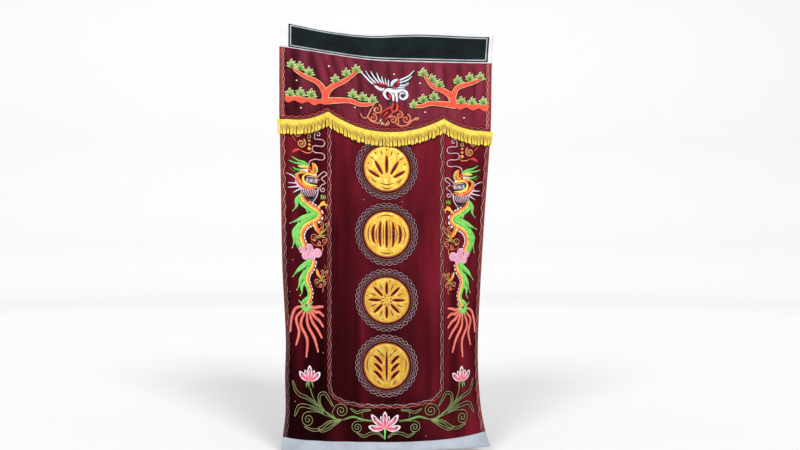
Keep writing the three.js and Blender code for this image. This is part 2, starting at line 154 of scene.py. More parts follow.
def smooth(value, low, high):
    """From 0 below one value to 1 above the other, with no corner at either."""
    t = np.clip((value - low) / (high - low), 0, 1)
    return t * t * (3 - 2 * t)


def bell(offset, width):
    """One at the middle of a fold, fading to both sides."""
    return np.exp(-((offset / width) ** 2))


def smooth_table(keys, values):
    """A reader of a table: a cubic through its rows, each slope set by a row's neighbours."""
    keys = np.array(keys, float)
    values = np.array(values, float)
    before = np.maximum(np.arange(len(keys)) - 1, 0)
    after = np.minimum(np.arange(len(keys)) + 1, len(keys) - 1)
    slopes = (values[after] - values[before]) / (keys[after] - keys[before])

    def read(at):
        i = np.clip(np.searchsorted(keys, at, side="right") - 1, 0, len(keys) - 2)
        span = keys[i + 1] - keys[i]
        t = np.clip((at - keys[i]) / span, 0, 1)
        bulge = t * (1 - t) * span * (slopes[i] * (1 - t) - slopes[i + 1] * t)
        return values[i] + (values[i + 1] - values[i]) * t * t * (3 - 2 * t) + bulge

    return read


LEVEL_READERS = [smooth_table(LEVEL_ACROSS, heights) for heights in LEVEL_HEIGHTS]
READ_LEFT = smooth_table(SIDE_DOWN, LEFT_EDGE)
READ_RIGHT = smooth_table(SIDE_DOWN, RIGHT_EDGE)
LATTICE_SIDE = 64
LATTICE = RNG.random((LATTICE_SIDE, LATTICE_SIDE))


def cloth_noise(x, y):
    """Smooth noise from -1 to 1 with features about one unit wide."""
    xi = np.floor(x).astype(int)
    yi = np.floor(y).astype(int)
    fx = smooth(x - xi, 0, 1)
    fy = smooth(y - yi, 0, 1)

    def corner(dx, dy):
        return LATTICE[(xi + dx) % LATTICE_SIDE, (yi + dy) % LATTICE_SIDE]

    low = corner(0, 0) * (1 - fx) + corner(1, 0) * fx
    high = corner(0, 1) * (1 - fx) + corner(1, 1) * fx
    return 2 * (low * (1 - fy) + high * fy) - 1


def height_of(across, down):
    """The height of a flat point, blended between the level lines above and below it."""
    heights = [read(across) for read in LEVEL_READERS]
    band = np.searchsorted(LEVEL_DOWN[1:-1], down)
    found = heights[0] * 0.0
    for i in range(len(LEVEL_DOWN) - 1):
        share = (down - LEVEL_DOWN[i]) / (LEVEL_DOWN[i + 1] - LEVEL_DOWN[i])
        found = np.where(band == i, heights[i] + (heights[i + 1] - heights[i]) * share, found)
    return found


def sideways_of(across, down):
    """How far right a flat point hangs: the outer cloth follows the two long edges."""
    edge = np.where(across < 0, READ_LEFT(down) + HALF, READ_RIGHT(down) - HALF)
    out = np.maximum(0, (np.abs(across) - DRAW_IN_FROM) / (HALF - DRAW_IN_FROM))
    return across + edge * out**DRAW_IN_POWER


def panel_depth(across, down):
    """How far forward of the hanging plane the velvet lies."""
    side = np.abs(across)
    folds = 0.0
    for at, width, depth, start, end, lean in PANEL_FOLDS:
        fade = smooth(down, start, start + FOLD_FADE) * (1 - smooth(down, end - FOLD_FADE, end))
        folds = folds + depth * fade * bell(across - at - lean * down, width)
    loose = smooth(side, FLAT_HALF, FLAT_HALF + FLAT_FADE)
    bow = -BOW * (np.maximum(0, side - FLAT_HALF) / (HALF - FLAT_HALF)) ** 2
    out = np.maximum(0, (side - EDGE_CURL["from"]) / (HALF - EDGE_CURL["from"]))
    curl_reach = bell(down - EDGE_CURL["peak_down"], EDGE_CURL["spread"])
    curl = -EDGE_CURL["depth"] * out**2 * curl_reach
    corner = np.maximum(0, (HEADER_CURL["from"] - across) / HEADER_CURL["reach"])
    lean_back = HEADER_CURL["depth"] * corner**2 * np.minimum(0, down) / HEADER_HEIGHT
    return loose * folds + bow + curl + lean_back


def small_folds(across, down):
    """The finer unevenness of the velvet: long shallow ripples, and a hem that waves a little."""
    ripples = 0.0
    for height, width, length, place, drop in RIPPLES:
        ripples = ripples + height * cloth_noise(across / width + place, down / length + drop)
    wave = cloth_noise(across / HEM_WAVE["width"] + HEM_WAVE["place"], 0 * across)
    hem_wave = HEM_WAVE["height"] * wave * smooth(down, HEM_WAVE["from"], HEM_WAVE["to"])
    return ripples * smooth(down, -10, 60) + hem_wave


def valance_stand_off(across, down):
    """How far the valance stands in front of the panel: its folds, creases and billow."""
    folds = 0.0
    for at, width, depth, reach, lean in VALANCE_FOLDS:
        fade = smooth(down, -30, 40) * (1 - smooth(down, reach * 0.35, reach))
        folds = folds + depth * fade * bell(across - at - lean * down, width)
    leaning = across - np.where(across < 0, CREASE["left"], CREASE["right"]) * down
    crinkle = cloth_noise(leaning / CREASE["width"] + CREASE["place"], down / CREASE["length"])
    creases = CREASE["height"] * (1 + crinkle) * smooth(down, 4, 40)
    return folds + creases + VALANCE_BILLOW * smooth(down, 0, 260)


def panel_full_depth(across, down):
    return panel_depth(across, down) + small_folds(across, down)


def valance_full_depth(across, down):
    return panel_full_depth(across, down) + valance_stand_off(across, down)


# Painted light and shade: the velvet is lighter where its slope faces right, towards the light.
SLOPE_SHADE_RESPONSE = 1.15
SLOPE_SHADE_LEAST = 0.15
SLOPE_SHADE_STEP = 3
CLOTH_DEPTHS = {"panel": panel_full_depth, "valance": valance_full_depth}
CLOTH_LIFTS = {"panel": 0, "valance": VALANCE_LIFT}


def hang(across, down, lift, cloth="panel"):
    """Flat points, lifted in front of a cloth's middle, as rows of x, y, z in metres."""
    across, down, lift = np.broadcast_arrays(
        np.asarray(across, float), np.asarray(down, float), np.asarray(lift, float)
    )
    depth_of = CLOTH_DEPTHS[cloth]

    def at(a, d):
        return np.stack([sideways_of(a, d), -depth_of(a, d), height_of(a, d)], axis=-1)

    step = 1.0
    rightwards = at(across + step, down) - at(across - step, down)
    downwards = at(across, down + step) - at(across, down - step)
    forward = np.cross(downwards, rightwards)
    forward /= np.linalg.norm(forward, axis=-1, keepdims=True)
    lifted = at(across, down) + forward * (lift + CLOTH_LIFTS[cloth])[..., None]
    return lifted * MM - ORIGIN


# The hanging point is the middle of the header's top edge, at its mid-thickness.
ORIGIN = np.zeros(3)
ORIGIN = hang(0, -HEADER_HEIGHT, BACK_CLOTH_MIDDLE)


# ---------------------------------------------------------------- materials


def linear(red, green, blue):
    """A colour given as 0 to 255 display values, as linear light."""
    return tuple(
        v / 12.92 if v <= 0.04045 else ((v + 0.055) / 1.055) ** 2.4
        for v in (red / 255, green / 255, blue / 255)
    ) + (1.0,)


def solid(tone):
    """A node's colour, from red, green and blue, or from one number for a grey."""
    return (*tone, 1)[:4] if isinstance(tone, tuple) else (tone, tone, tone, 1)


class Nodes:
    """Short names for building one material's nodes."""

    def __init__(self, name):
        self.material = bpy.data.materials.new(name)
        self.material.use_nodes = True
        self.tree = self.material.node_tree
        self.shader = self.tree.nodes["Principled BSDF"]
        coordinates = self.tree.nodes.new("ShaderNodeTexCoord")
        self.place = coordinates.outputs["Object"]
        self.uv = coordinates.outputs["UV"]

    def feed(self, value, socket):
        """Link another node's output to a socket, or set the socket to a plain value."""
        if isinstance(value, bpy.types.NodeSocket):
            self.tree.links.new(value, socket)
        else:
            socket.default_value = value

    def add(self, kind, **settings):
        """A node with the named settings changed and the named inputs fed."""
        node = self.tree.nodes.new(kind)
        for key, value in settings.items():
            if hasattr(node, key):
                setattr(node, key, value)
            else:
                self.feed(value, node.inputs[key.replace("_", " ").title()])
        return node

    def axes(self):
        """How far right and how far up a point lies, in metres."""
        outputs = self.add("ShaderNodeSeparateXYZ", vector=self.place).outputs
        return outputs["X"], outputs["Z"]

    def stretch(self, scale, turn=0.0, source=None):
        vector = source or self.place
        node = self.add("ShaderNodeMapping", vector=vector, scale=scale, rotation=(0, turn, 0))
        return node.outputs["Vector"]

    def noise(self, vector, detail=3.0, roughness=0.5, scale=1.0):
        settings = {"vector": vector, "scale": scale, "detail": detail, "roughness": roughness}
        return self.add("ShaderNodeTexNoise", **settings).outputs["Fac"]

    def wave(self, vector, scale, distortion=0.0, direction="X"):
        settings = {"vector": vector, "scale": scale, "distortion": distortion}
        node = self.add("ShaderNodeTexWave", bands_direction=direction, **settings)
        return node.outputs["Fac"]

    def ramp(self, source, stops):
        """A colour by the source's value; each stop is a position and a colour or a grey."""
        node = self.add("ShaderNodeValToRGB")
        elements = node.color_ramp.elements
        while len(elements) < len(stops):
            elements.new(0.5)
        for element, (position, tone) in zip(elements, stops):
            element.position = position
            element.color = solid(tone)
        self.feed(source, node.inputs["Fac"])
        return node.outputs["Color"]

    def mix(self, share, first, second, blend="MIX"):
        """A mix node takes its two colours at inputs 6 and 7 and gives its colour as output 2."""
        node = self.add("ShaderNodeMix", data_type="RGBA", blend_type=blend)
        for value, index in ((share, 0), (first, 6), (second, 7)):
            self.feed(value, node.inputs[index])
        return node.outputs[2]

    def multiply(self, colour, *layers):
        for layer in layers:
            colour = self.mix(1.0, colour, layer, blend="MULTIPLY")
        return colour

    def math(self, operation, first, second=0.0):
        node = self.add("ShaderNodeMath", operation=operation)
        self.feed(first, node.inputs[0])
        self.feed(second, node.inputs[1])
        return node.outputs[0]

    def blend(self, first, second, share):
        """A share of the first value and the rest of the second."""
        rest = self.math("MULTIPLY", second, 1 - share)
        return self.math("ADD", self.math("MULTIPLY", first, share), rest)

    def hill(self, source, middle, half, flat):
        """One near the middle, easing to nothing at the half width; `flat` is the level share."""
        away = self.math("ABSOLUTE", self.math("SUBTRACT", source, middle))
        slope = self.ramp(self.math("DIVIDE", away, half), [(flat, 1), (1.0, 0)])
        slope.node.color_ramp.interpolation = "EASE"
        return slope

    def lights_and_darks(self, colour, places, flat, across, height):
        """Painted light and shade laid over parts of the banner: middle across, half width, top, foot
        and tone.
        """
        for middle, half, top, foot, tone in places:
            down = self.hill(height, (top + foot) / 2, (top - foot) / 2, 0.6)
            share = self.math("MULTIPLY", self.hill(across, middle, half, flat), down)
            colour = self.mix(share, colour, solid(tone), blend="MULTIPLY")
        return colour

    def bump(self, height, strength, distance):
        node = self.add("ShaderNodeBump", strength=strength, distance=distance)
        self.feed(height, node.inputs["Height"])
        self.feed(node.outputs["Normal"], self.shader.inputs["Normal"])

    def finish(self, colour, roughness, specular, sheen=0.0, metallic=0.0):
        settings = {
            "Base Color": colour, "Roughness": roughness, "Specular IOR Level": specular,
            "Sheen Weight": sheen, "Metallic": metallic,
        }
        for name, value in settings.items():
            self.feed(value, self.shader.inputs[name])
        return self.material


# Painted light and shade of long soft folds: middle across, half width, top, foot, light or dark.
PANEL_FOLD_LIGHT = [
    (-0.405, 0.05, -0.3, -1.1, 2.6), (-0.375, 0.035, -0.95, -1.65, 2.6),
    (-0.325, 0.035, -0.6, -1.5, 0.55), (-0.275, 0.03, -0.9, -1.55, 0.6),
    (-0.275, 0.03, -0.3, -0.68, 1.7), (0.02, 0.05, -0.95, -1.8, 0.6), (0.16, 0.04, -1.45, -1.9, 0.65),
    (-0.225, 0.05, -0.3, -0.85, 2.0), (-0.12, 0.05, -0.3, -0.65, 0.6), (-0.02, 0.11, -0.3, -1.1, 0.65),
    (-0.09, 0.03, -1.0, -1.75, 1.5), (-0.21, 0.06, -1.5, -1.78, 2.2), (0.12, 0.06, -1.5, -1.85, 0.55),
    (0.105, 0.04, -0.3, -0.85, 0.6), (0.235, 0.035, -1.0, -1.6, 0.6), (0.3, 0.05, -0.3, -1.0, 1.6),
    (0.385, 0.05, -1.05, -1.6, 0.4),
]
VALANCE_FOLD_LIGHT = [
    (-0.37, 0.04, 0.1, -0.4, 0.5), (-0.24, 0.05, 0.1, -0.25, 1.6), (-0.05, 0.09, 0.1, -0.4, 0.58),
    (0.04, 0.05, 0.1, -0.4, 0.8), (0.38, 0.05, 0.1, -0.4, 1.25),
]


# Painted light and shade on the pile by its slope, from turned away from the light to turned towards
# it; pieces with no slope value take the darkest tone.
SLOPE_TONES = [
    (0.0, (0.09, 0.07, 0.08)), (0.15, (0.38, 0.37, 0.38)), (0.5, (0.61, 0.63, 0.63)),
    (1.0, (0.78, 0.81, 0.84)),
]
# Painted light: the pile is lighter towards the upper right, where the light comes from, and darkest
# at the lower left; sizes in metres.
SIDE_LIGHT = {"lean": 0.6, "lowest": -1.3, "start": 0.95, "uneven": 0.5}
SIDE_LIGHT_TONES = [
    (0.08, (0.17, 0.14, 0.16)), (0.3, (0.27, 0.25, 0.27)), (0.5, (0.4, 0.38, 0.4)),
    (0.62, (0.53, 0.52, 0.54)), (0.75, (0.78, 0.77, 0.79)), (0.87, 1.0),
]
# Painted shade: the right border is darker halfway down. Heights are shares of the span above the
# foot.
BORDER_SHADE = {"foot": -1.8, "span": 2.0, "tone": 0.58}
BORDER_SHADE_ACROSS = [(0.24, 0), (0.28, 1)]
BORDER_SHADE_HEIGHTS = [(0.2, 0), (0.35, 1), (0.62, 1), (0.7, 0)]
# Painted shade: darker towards the lower left corner, near the foot.
LOW_CORNER_SHADE = {"lean": 2.0, "start": 3.5}
LOW_CORNER_SHADE_TONES = [(0.1, (0.4, 0.32, 0.32)), (0.26, (0.62, 0.58, 0.58)), (0.42, 1.0)]
# How far the painted light and shade of the long soft folds wander to each side of their places, in
# metres.
WANDER = 0.03
WEAVE_SCALE = 420.0


def velvet(name, dark, light, streak, folds, shift=0.0):
    """Maroon pile with painted light and shade: lighter towards the upper right and on slopes that
    face right, darker at the lower left, in painted fold bands and in the dark halos round the
    stitches.
    """
    n = Nodes(name)
    across, height = n.axes()
    broad = n.noise(n.stretch((7, 7, 1.6), turn=0.05), detail=2.0)
    fine = n.noise(n.stretch((44, 44, 5)), roughness=0.55)
    pile = n.noise(n.place, detail=2.0, scale=900.0)
    # Random lighter streaks in the pile, which also stand in for painted sheen.
    body = n.ramp(n.blend(broad, fine, 0.8), [(0.38, dark), (0.5, light), (0.66, streak)])
    speckled = n.mix(0.18, body, n.ramp(pile, [(0.3, dark), (0.75, streak)]))
    # Painted light and shade by each point's slope towards the light on the right.
    slope = n.add("ShaderNodeAttribute", attribute_name="slope_shade").outputs["Fac"]
    # Painted light from the right: lighter towards the upper right, darkest at the lower left.
    lean = n.math("MULTIPLY", n.math("MAXIMUM", height, SIDE_LIGHT["lowest"]), SIDE_LIGHT["lean"])
    rise = n.math("ADD", n.math("ADD", across, lean), SIDE_LIGHT["start"] + shift)
    place = n.math("ADD", n.math("MULTIPLY", broad, SIDE_LIGHT["uneven"]), rise)
    # Painted shade on the right border, halfway down.
    up = n.math("DIVIDE", n.math("SUBTRACT", height, BORDER_SHADE["foot"]), BORDER_SHADE["span"])
    in_border = n.math("MULTIPLY", n.ramp(across, BORDER_SHADE_ACROSS), n.ramp(up, BORDER_SHADE_HEIGHTS))
    border_shade = n.mix(in_border, solid(1), solid(BORDER_SHADE["tone"]))
    # Painted shade towards the lower left corner, near the foot.
    low = n.math("ADD", across, n.math("MULTIPLY", height, LOW_CORNER_SHADE["lean"]))
    low_corner_shade = n.ramp(n.math("ADD", low, LOW_CORNER_SHADE["start"]), LOW_CORNER_SHADE_TONES)
    side_light = n.ramp(place, SIDE_LIGHT_TONES)
    colour = n.multiply(speckled, side_light, border_shade, low_corner_shade, n.ramp(slope, SLOPE_TONES))
    astray = n.math("SUBTRACT", n.math("MULTIPLY", broad, 2 * WANDER), WANDER)
    # Painted light and shade of the long soft folds, laid over the colour.
    colour = n.lights_and_darks(colour, folds, 0.1, n.math("ADD", across, astray), height)
    n.bump(pile, 0.25, 0.0006)
    n.shader.inputs["Sheen Tint"].default_value = linear(214, 40, 84)
    n.shader.inputs["Sheen Roughness"].default_value = 0.35
    return n.finish(colour, n.ramp(fine, [(0.3, 0.55), (0.7, 0.75)]), 0.02, sheen=0.25)


def cotton(name, shade, light, gloss=0.3):
    """Plain woven cloth with a fine grid of threads and soft shading."""
    n = Nodes(name)
    warp, weft = (n.wave(n.place, WEAVE_SCALE, direction=axis) for axis in "XZ")
    weave = n.blend(warp, weft, 0.5)
    body = n.ramp(n.noise(n.stretch((9, 9, 16))), [(0.3, shade), (0.68, light)])
    colour = n.mix(0.12, body, n.ramp(weave, [(0.1, shade), (0.9, light)]))
    n.bump(weave, 0.3, 0.0004)
    return n.finish(colour, n.ramp(weave, [(0.0, 0.8), (1.0, 0.92)]), gloss, sheen=gloss / 3)


def thread(name, shade, light, shine=0.45, places=()):
    """Satin stitch: fine threads laid across each stroke, darker where they meet the velvet; "places"
    lays painted light and shade over parts of it.
    """
    n = Nodes(name)
    shade, light = linear(*shade), linear(*light)
    stitches = n.wave(n.stretch((1, 0.25, 1), source=n.uv), 170.0, distortion=1.5)
    fibres = n.noise(n.stretch((900, 60, 1), source=n.uv))
    body = n.ramp(n.noise(n.place, scale=55.0), [(0.28, shade), (0.6, light)])
    ply = n.blend(stitches, fibres, 0.6)
    colour = n.mix(0.5, body, n.ramp(ply, [(0.18, shade), (0.55, light)]))
    if places:
        colour = n.lights_and_darks(colour, places, 0.7, *n.axes())
    n.bump(ply, 0.6, 0.0008)
    return n.finish(colour, n.ramp(stitches, [(0.0, 0.62), (1.0, shine)]), 0.45, sheen=0.15)


def gold_cloth(name):
    """Padded gold lame: a mottled yellow ground with painted glints, darker towards the foot with
    painted shade.
    """
    n = Nodes(name)
    grain = n.add("ShaderNodeTexVoronoi", vector=n.place, scale=420.0).outputs["Distance"]
    body = n.ramp(n.noise(n.stretch((62, 62, 40))), [
        (0.3, linear(212, 146, 34)), (0.44, linear(238, 190, 50)), (0.56, linear(250, 212, 70)),
        (0.7, linear(255, 240, 138)),
    ])
    # Painted glints: pale specks in the ground's colour.
    painted_glints = n.ramp(grain, [(0.0, linear(255, 240, 150)), (0.55, linear(214, 158, 44))])
    # Painted shade: the discs are darker towards the foot.
    foot_shade = n.ramp(n.math("ADD", n.axes()[1], 1.5), [
        (0.1, (0.62, 0.6, 0.5)), (0.38, (0.72, 0.7, 0.62)), (0.65, (0.87, 0.87, 0.8)), (0.93, 1.0),
    ])
    colour = n.multiply(n.mix(0.28, body, painted_glints), foot_shade)
    n.bump(grain, 0.3, 0.0005)
    return n.finish(colour, n.ramp(grain, [(0.0, 0.3), (0.6, 0.5)]), 0.5, metallic=0.25)


VELVET_PANEL = velvet(
    "velvet_panel", linear(110, 24, 36), linear(133, 31, 46), linear(154, 40, 57), PANEL_FOLD_LIGHT
)
VELVET_VALANCE = velvet(
    "velvet_valance", linear(116, 35, 50), linear(140, 49, 67), linear(160, 62, 82),
    VALANCE_FOLD_LIGHT, -0.08
)
COTTON_HEADER = cotton("cotton_header", linear(206, 207, 210), linear(226, 226, 228))
COTTON_FOOT = cotton("cotton_foot", linear(146, 152, 164), linear(172, 178, 188))
CLOTH_BLACK = cotton("cloth_black", linear(12, 18, 21), linear(27, 35, 39), 0.08)
LINE_GREY = cotton("line_grey", linear(128, 134, 140), linear(182, 188, 192))
GOLD = gold_cloth("gold_lame")


# ---------------------------------------------------------------- cloth sheets


def make_mesh(name, points, faces, material, uvs=None, slope_shade=None):
    mesh = bpy.data.meshes.new(name)
    mesh.from_pydata([tuple(p) for p in points], [], faces)
    mesh.polygons.foreach_set("use_smooth", [True] * len(mesh.polygons))
    if uvs is not None:
        layer = mesh.uv_layers.new(name="stitch")
        corners = np.empty(len(mesh.loops), dtype=int)
        mesh.loops.foreach_get("vertex_index", corners)
        layer.data.foreach_set("uv", np.asarray(uvs, float)[corners].ravel())
    if slope_shade is not None:
        mesh.attributes.new("slope_shade", "FLOAT", "POINT").data.foreach_set("value", slope_shade)
    mesh.materials.append(material)
    mesh.update()
    piece = bpy.data.objects.new(name, mesh)
    bpy.context.scene.collection.objects.link(piece)
    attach(piece, "root")
    return piece


def cloth_sheet(name, material, across, top_of, bottom_of, rows, lift, thick, cloth="panel"):
    """A closed sheet between two lines of flat cloth, "top_of" and "bottom_of" each across."""
    across = np.asarray(across, float)
    share = np.linspace(0, 1, rows + 1)[:, None]
    top = np.array([top_of(a) for a in across])
    bottom = np.array([bottom_of(a) for a in across])
    down = top + (bottom - top) * share
    wide = np.broadcast_to(across, down.shape)
    front = hang(wide, down, lift + thick / 2, cloth).reshape(-1, 3)
    back = hang(wide, down, lift - thick / 2, cloth).reshape(-1, 3)
    columns = len(across)
    count = len(front)
    faces = []
    for r in range(rows):
        for c in range(columns - 1):
            a = r * columns + c
            b = a + columns
            faces.append((a, b, b + 1, a + 1))
            faces.append((count + a, count + a + 1, count + b + 1, count + b))
    rim = [(c, c + 1) for c in range(columns - 1)]
    last = rows * columns
    rim += [(last + c + 1, last + c) for c in range(columns - 1)]
    rim += [((r + 1) * columns, r * columns) for r in range(rows)]
    rim += [((r + 1) * columns - 1, (r + 2) * columns - 1) for r in range(rows)]
    faces += [(a, b, count + b, count + a) for a, b in rim]
    depth_of = CLOTH_DEPTHS[cloth]
    # Painted light and shade: each point's slope towards the right, where the light comes from, kept
    # for the velvet's tone.
    slope = (depth_of(wide - SLOPE_SHADE_STEP, down) - depth_of(wide + SLOPE_SHADE_STEP, down)) / (2 * SLOPE_SHADE_STEP)
    slope_shade = np.clip(0.5 + SLOPE_SHADE_RESPONSE * slope.ravel(), SLOPE_SHADE_LEAST, 1)
    points = np.vstack([front, back])
    return make_mesh(name, points, faces, material, slope_shade=np.concatenate([slope_shade, slope_shade]))


def scallop(across):
    """Down to the valance's edge line, where the fringe starts."""
    out = np.abs(np.asarray(across, float))
    peak = SCALLOP["peak_across"]
    inner = SCALLOP["middle"] - (SCALLOP["middle"] - SCALLOP["peak_down"]) * (
        np.minimum(out / peak, 1) ** 2.2
    )
    share = np.clip((out - peak) / (HALF - peak), 0, 1.1)
    rise = 1 - (1 - np.minimum(1, share / 0.75)) ** 1.8
    outer = SCALLOP["peak_down"] + (SCALLOP["side"] - SCALLOP["peak_down"]) * rise
    outer = outer + (SCALLOP["end"] - SCALLOP["side"]) * smooth(share, 0.75, 1)
    return np.where(out < peak, inner, outer)


def header_top(across):
    """The header's top edge, rounded off at its left end."""
    start = HEADER_CORNER["start"]
    beyond = (start - across) / (start + HALF)
    if beyond <= 0:
        return -HEADER_HEIGHT
    return -HEADER_HEIGHT + HEADER_CORNER["drop"] * (1 - math.sqrt(max(0, 1 - beyond**2)))


def constant(value):
    """A straight edge for cloth_sheet: the same distance down everywhere."""
    return lambda across: value


def build_cloths():
    panel = cloth_sheet(
        "panel_cloth", VELVET_PANEL, np.linspace(-HALF, HALF, 151), constant(0),
        constant(VELVET_LENGTH), 260, 0, VELVET_THICK,
    )
    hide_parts("main_panel")
    valance = cloth_sheet(
        "valance_cloth", VELVET_VALANCE, np.linspace(-HALF, HALF, 201), constant(0),
        lambda a: float(scallop(a)) + VALANCE_TURNING, 56, 0, VELVET_THICK, "valance",
    )
    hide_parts("valance")
    corner = HEADER_CORNER["start"] - (HEADER_CORNER["start"] + HALF) * np.sin(
        np.linspace(math.pi / 2, 0, 12)
    )
    header = cloth_sheet(
        "header_cloth", COTTON_HEADER,
        np.concatenate([corner, np.linspace(HEADER_CORNER["start"], HALF, 90)[1:]]),
        header_top, constant(SEAM_OVERLAP), 18, BACK_CLOTH_MIDDLE, COTTON_THICK,
    )
    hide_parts("header_band")
    strip = cloth_sheet(
        "strip_cloth", CLOTH_BLACK, np.linspace(STRIP["left"], STRIP["right"], 90),
        constant(STRIP["top"] - HEADER_HEIGHT), constant(-STRIP["bottom"]), 14,
        -FRONT + COTTON_THICK / 2, COTTON_THICK,
    )
    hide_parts("black_strip")
    foot = cloth_sheet(
        "foot_cloth", COTTON_FOOT, np.linspace(-HALF, HALF, 121),
        constant(VELVET_LENGTH - SEAM_OVERLAP), constant(VELVET_LENGTH + FOOT_HEIGHT), 14,
        BACK_CLOTH_MIDDLE, COTTON_THICK,
    )
    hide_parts("foot_band")
    return {"panel": panel, "valance": valance, "header": header, "strip": strip, "foot": foot}


# ---------------------------------------------------------------- stitching


def curve(points, step=3.5):
    """Evenly spaced points on a smooth curve through the given ones."""
    p = np.array(points, float)
    p = np.vstack([2 * p[0] - p[1], p, 2 * p[-1] - p[-2]])
    t = np.linspace(0, 1, 14, endpoint=False)[:, None]
    dense = []
    for a, b, c, d in zip(p, p[1:], p[2:], p[3:]):
        square = 2 * a - 5 * b + 4 * c - d
        cube = 3 * b - a - 3 * c + d
        dense.append(b + 0.5 * ((c - a) * t + square * t**2 + cube * t**3))
    return even(np.vstack([*dense, p[-2:-1]]), step)


def run_of(path):
    """Distance along a path at each of its points."""
    return np.concatenate([[0], np.cumsum(np.linalg.norm(np.diff(path, axis=0), axis=1))])


def even(path, step):
    """The same path with its points evenly spaced."""
    run = run_of(path)
    at = np.linspace(0, run[-1], max(3, round(run[-1] / step)) + 1)
    return np.column_stack([np.interp(at, run, path[:, k]) for k in (0, 1)])


def wave_along(path, length, start=0.0):
    """A sine along a path, one wave to each length, that starts at an angle."""
    return np.sin(run_of(path) * 2 * math.pi / length + start)


def directions_of(path):
    """The unit directions along a path and to the right of travel, at each of its points."""
    along = np.gradient(path, axis=0)
    along /= np.maximum(np.linalg.norm(along, axis=1, keepdims=True), 1e-9)
    return along, np.column_stack([-along[:, 1], along[:, 0]])


def circle(middle, radius, step=3.0):
    """A closed circle, clockwise from its top."""
    turn = np.linspace(0, 2 * math.pi, max(12, round(2 * math.pi * radius / step)) + 1)
    return np.column_stack([middle[0] + radius * np.sin(turn), middle[1] - radius * np.cos(turn)])


def spiral(middle, radius, turns=1.4, start=0.0, side=1, tight=0.12, step=3.0):
    """From the outside in. start is in degrees clockwise from the top, side is 1 or -1."""
    count = max(10, round(turns * 2 * math.pi * radius * 0.6 / step))
    t = np.linspace(0, 1, count)
    angle = math.radians(start) + side * turns * 2 * math.pi * t
    r = radius * (1 - (1 - tight) * t**0.85)
    return np.column_stack([middle[0] + r * np.sin(angle), middle[1] - r * np.cos(angle)])


def width_shares(path, half, form):
    """How wide a stroke is at each point of its path, as a share of its full width."""
    run = run_of(path)
    t = run / run[-1]
    if form == "leaf":
        shares = np.sin(math.pi * np.clip(t, 0.001, 0.999)) ** 0.75
    elif form == "broad":
        shares = np.sin(math.pi * np.clip(t, 0.001, 0.999) ** 1.2) ** 0.55
    elif form == "feather":
        shares = 1 - 0.5 * t
    elif form == "taper":
        shares = (1 - t) ** 0.6 * 0.85 + 0.15
    elif form == "horn":
        shares = (1 - t) ** 1.15 * 0.9 + 0.2 * np.sin(math.pi * np.clip(t, 0, 0.999)) ** 4 + 0.06
    elif form == "bulb":
        shares = np.sqrt(np.clip(1 - (2 * t - 1) ** 2, 0, 1))
    else:
        shares = np.ones(len(t))
    if form in ("round", "taper", "feather"):
        reach = min(half, run[-1] / 2)
        near_end = np.minimum(run, run[-1] - run) / reach
        shares = shares * np.sqrt(1 - (1 - np.clip(near_end, 0, 1)) ** 2)
    return np.maximum(shares, 0.06)


def stroke_shape(points, half, form="round", crown=None, step=None):
    """A stroke through a few points: its path, with its half width and its crown along it."""
    path = curve(points, step or max(2.2, min(4.5, half)))
    shares = width_shares(path, half, form)
    crown = crown or min(1.7, 0.5 + 0.16 * half)
    return path, half * shares, crown * shares**0.6


def bead_shape(middle, radius, crown=None):
    """A round dot, worked as one short stroke."""
    ends = [(middle[0] - radius, middle[1]), middle, (middle[0] + radius, middle[1])]
    return stroke_shape(ends, radius, "bulb", crown or radius * 0.5, radius / 4)


def moved(points, right, lower):
    """The same points, shifted to the right and down."""
    return [(x + right, y + lower) for x, y in points]


def halfway(first, second, lower=0.0):
    """The point between two others, or a little below it."""
    return (first[0] + second[0]) / 2, (first[1] + second[1]) / 2 + lower


# A strip's section: places across it in half widths, and how high each stands in crowns.
SECTION = np.array([-1, -0.66, 0, 0.66, 1])
SECTION_RISE = np.array([0, 0.74, 1, 0.74, 0])
STITCH_BASE = FRONT + 0.1
# Painted shade: round a strip that comes lower than "below", a dark halo of velvet reaches "reach"
# past its edges.
HALO = {"reach": 3.2, "crown": 0.2, "below": 0.45}


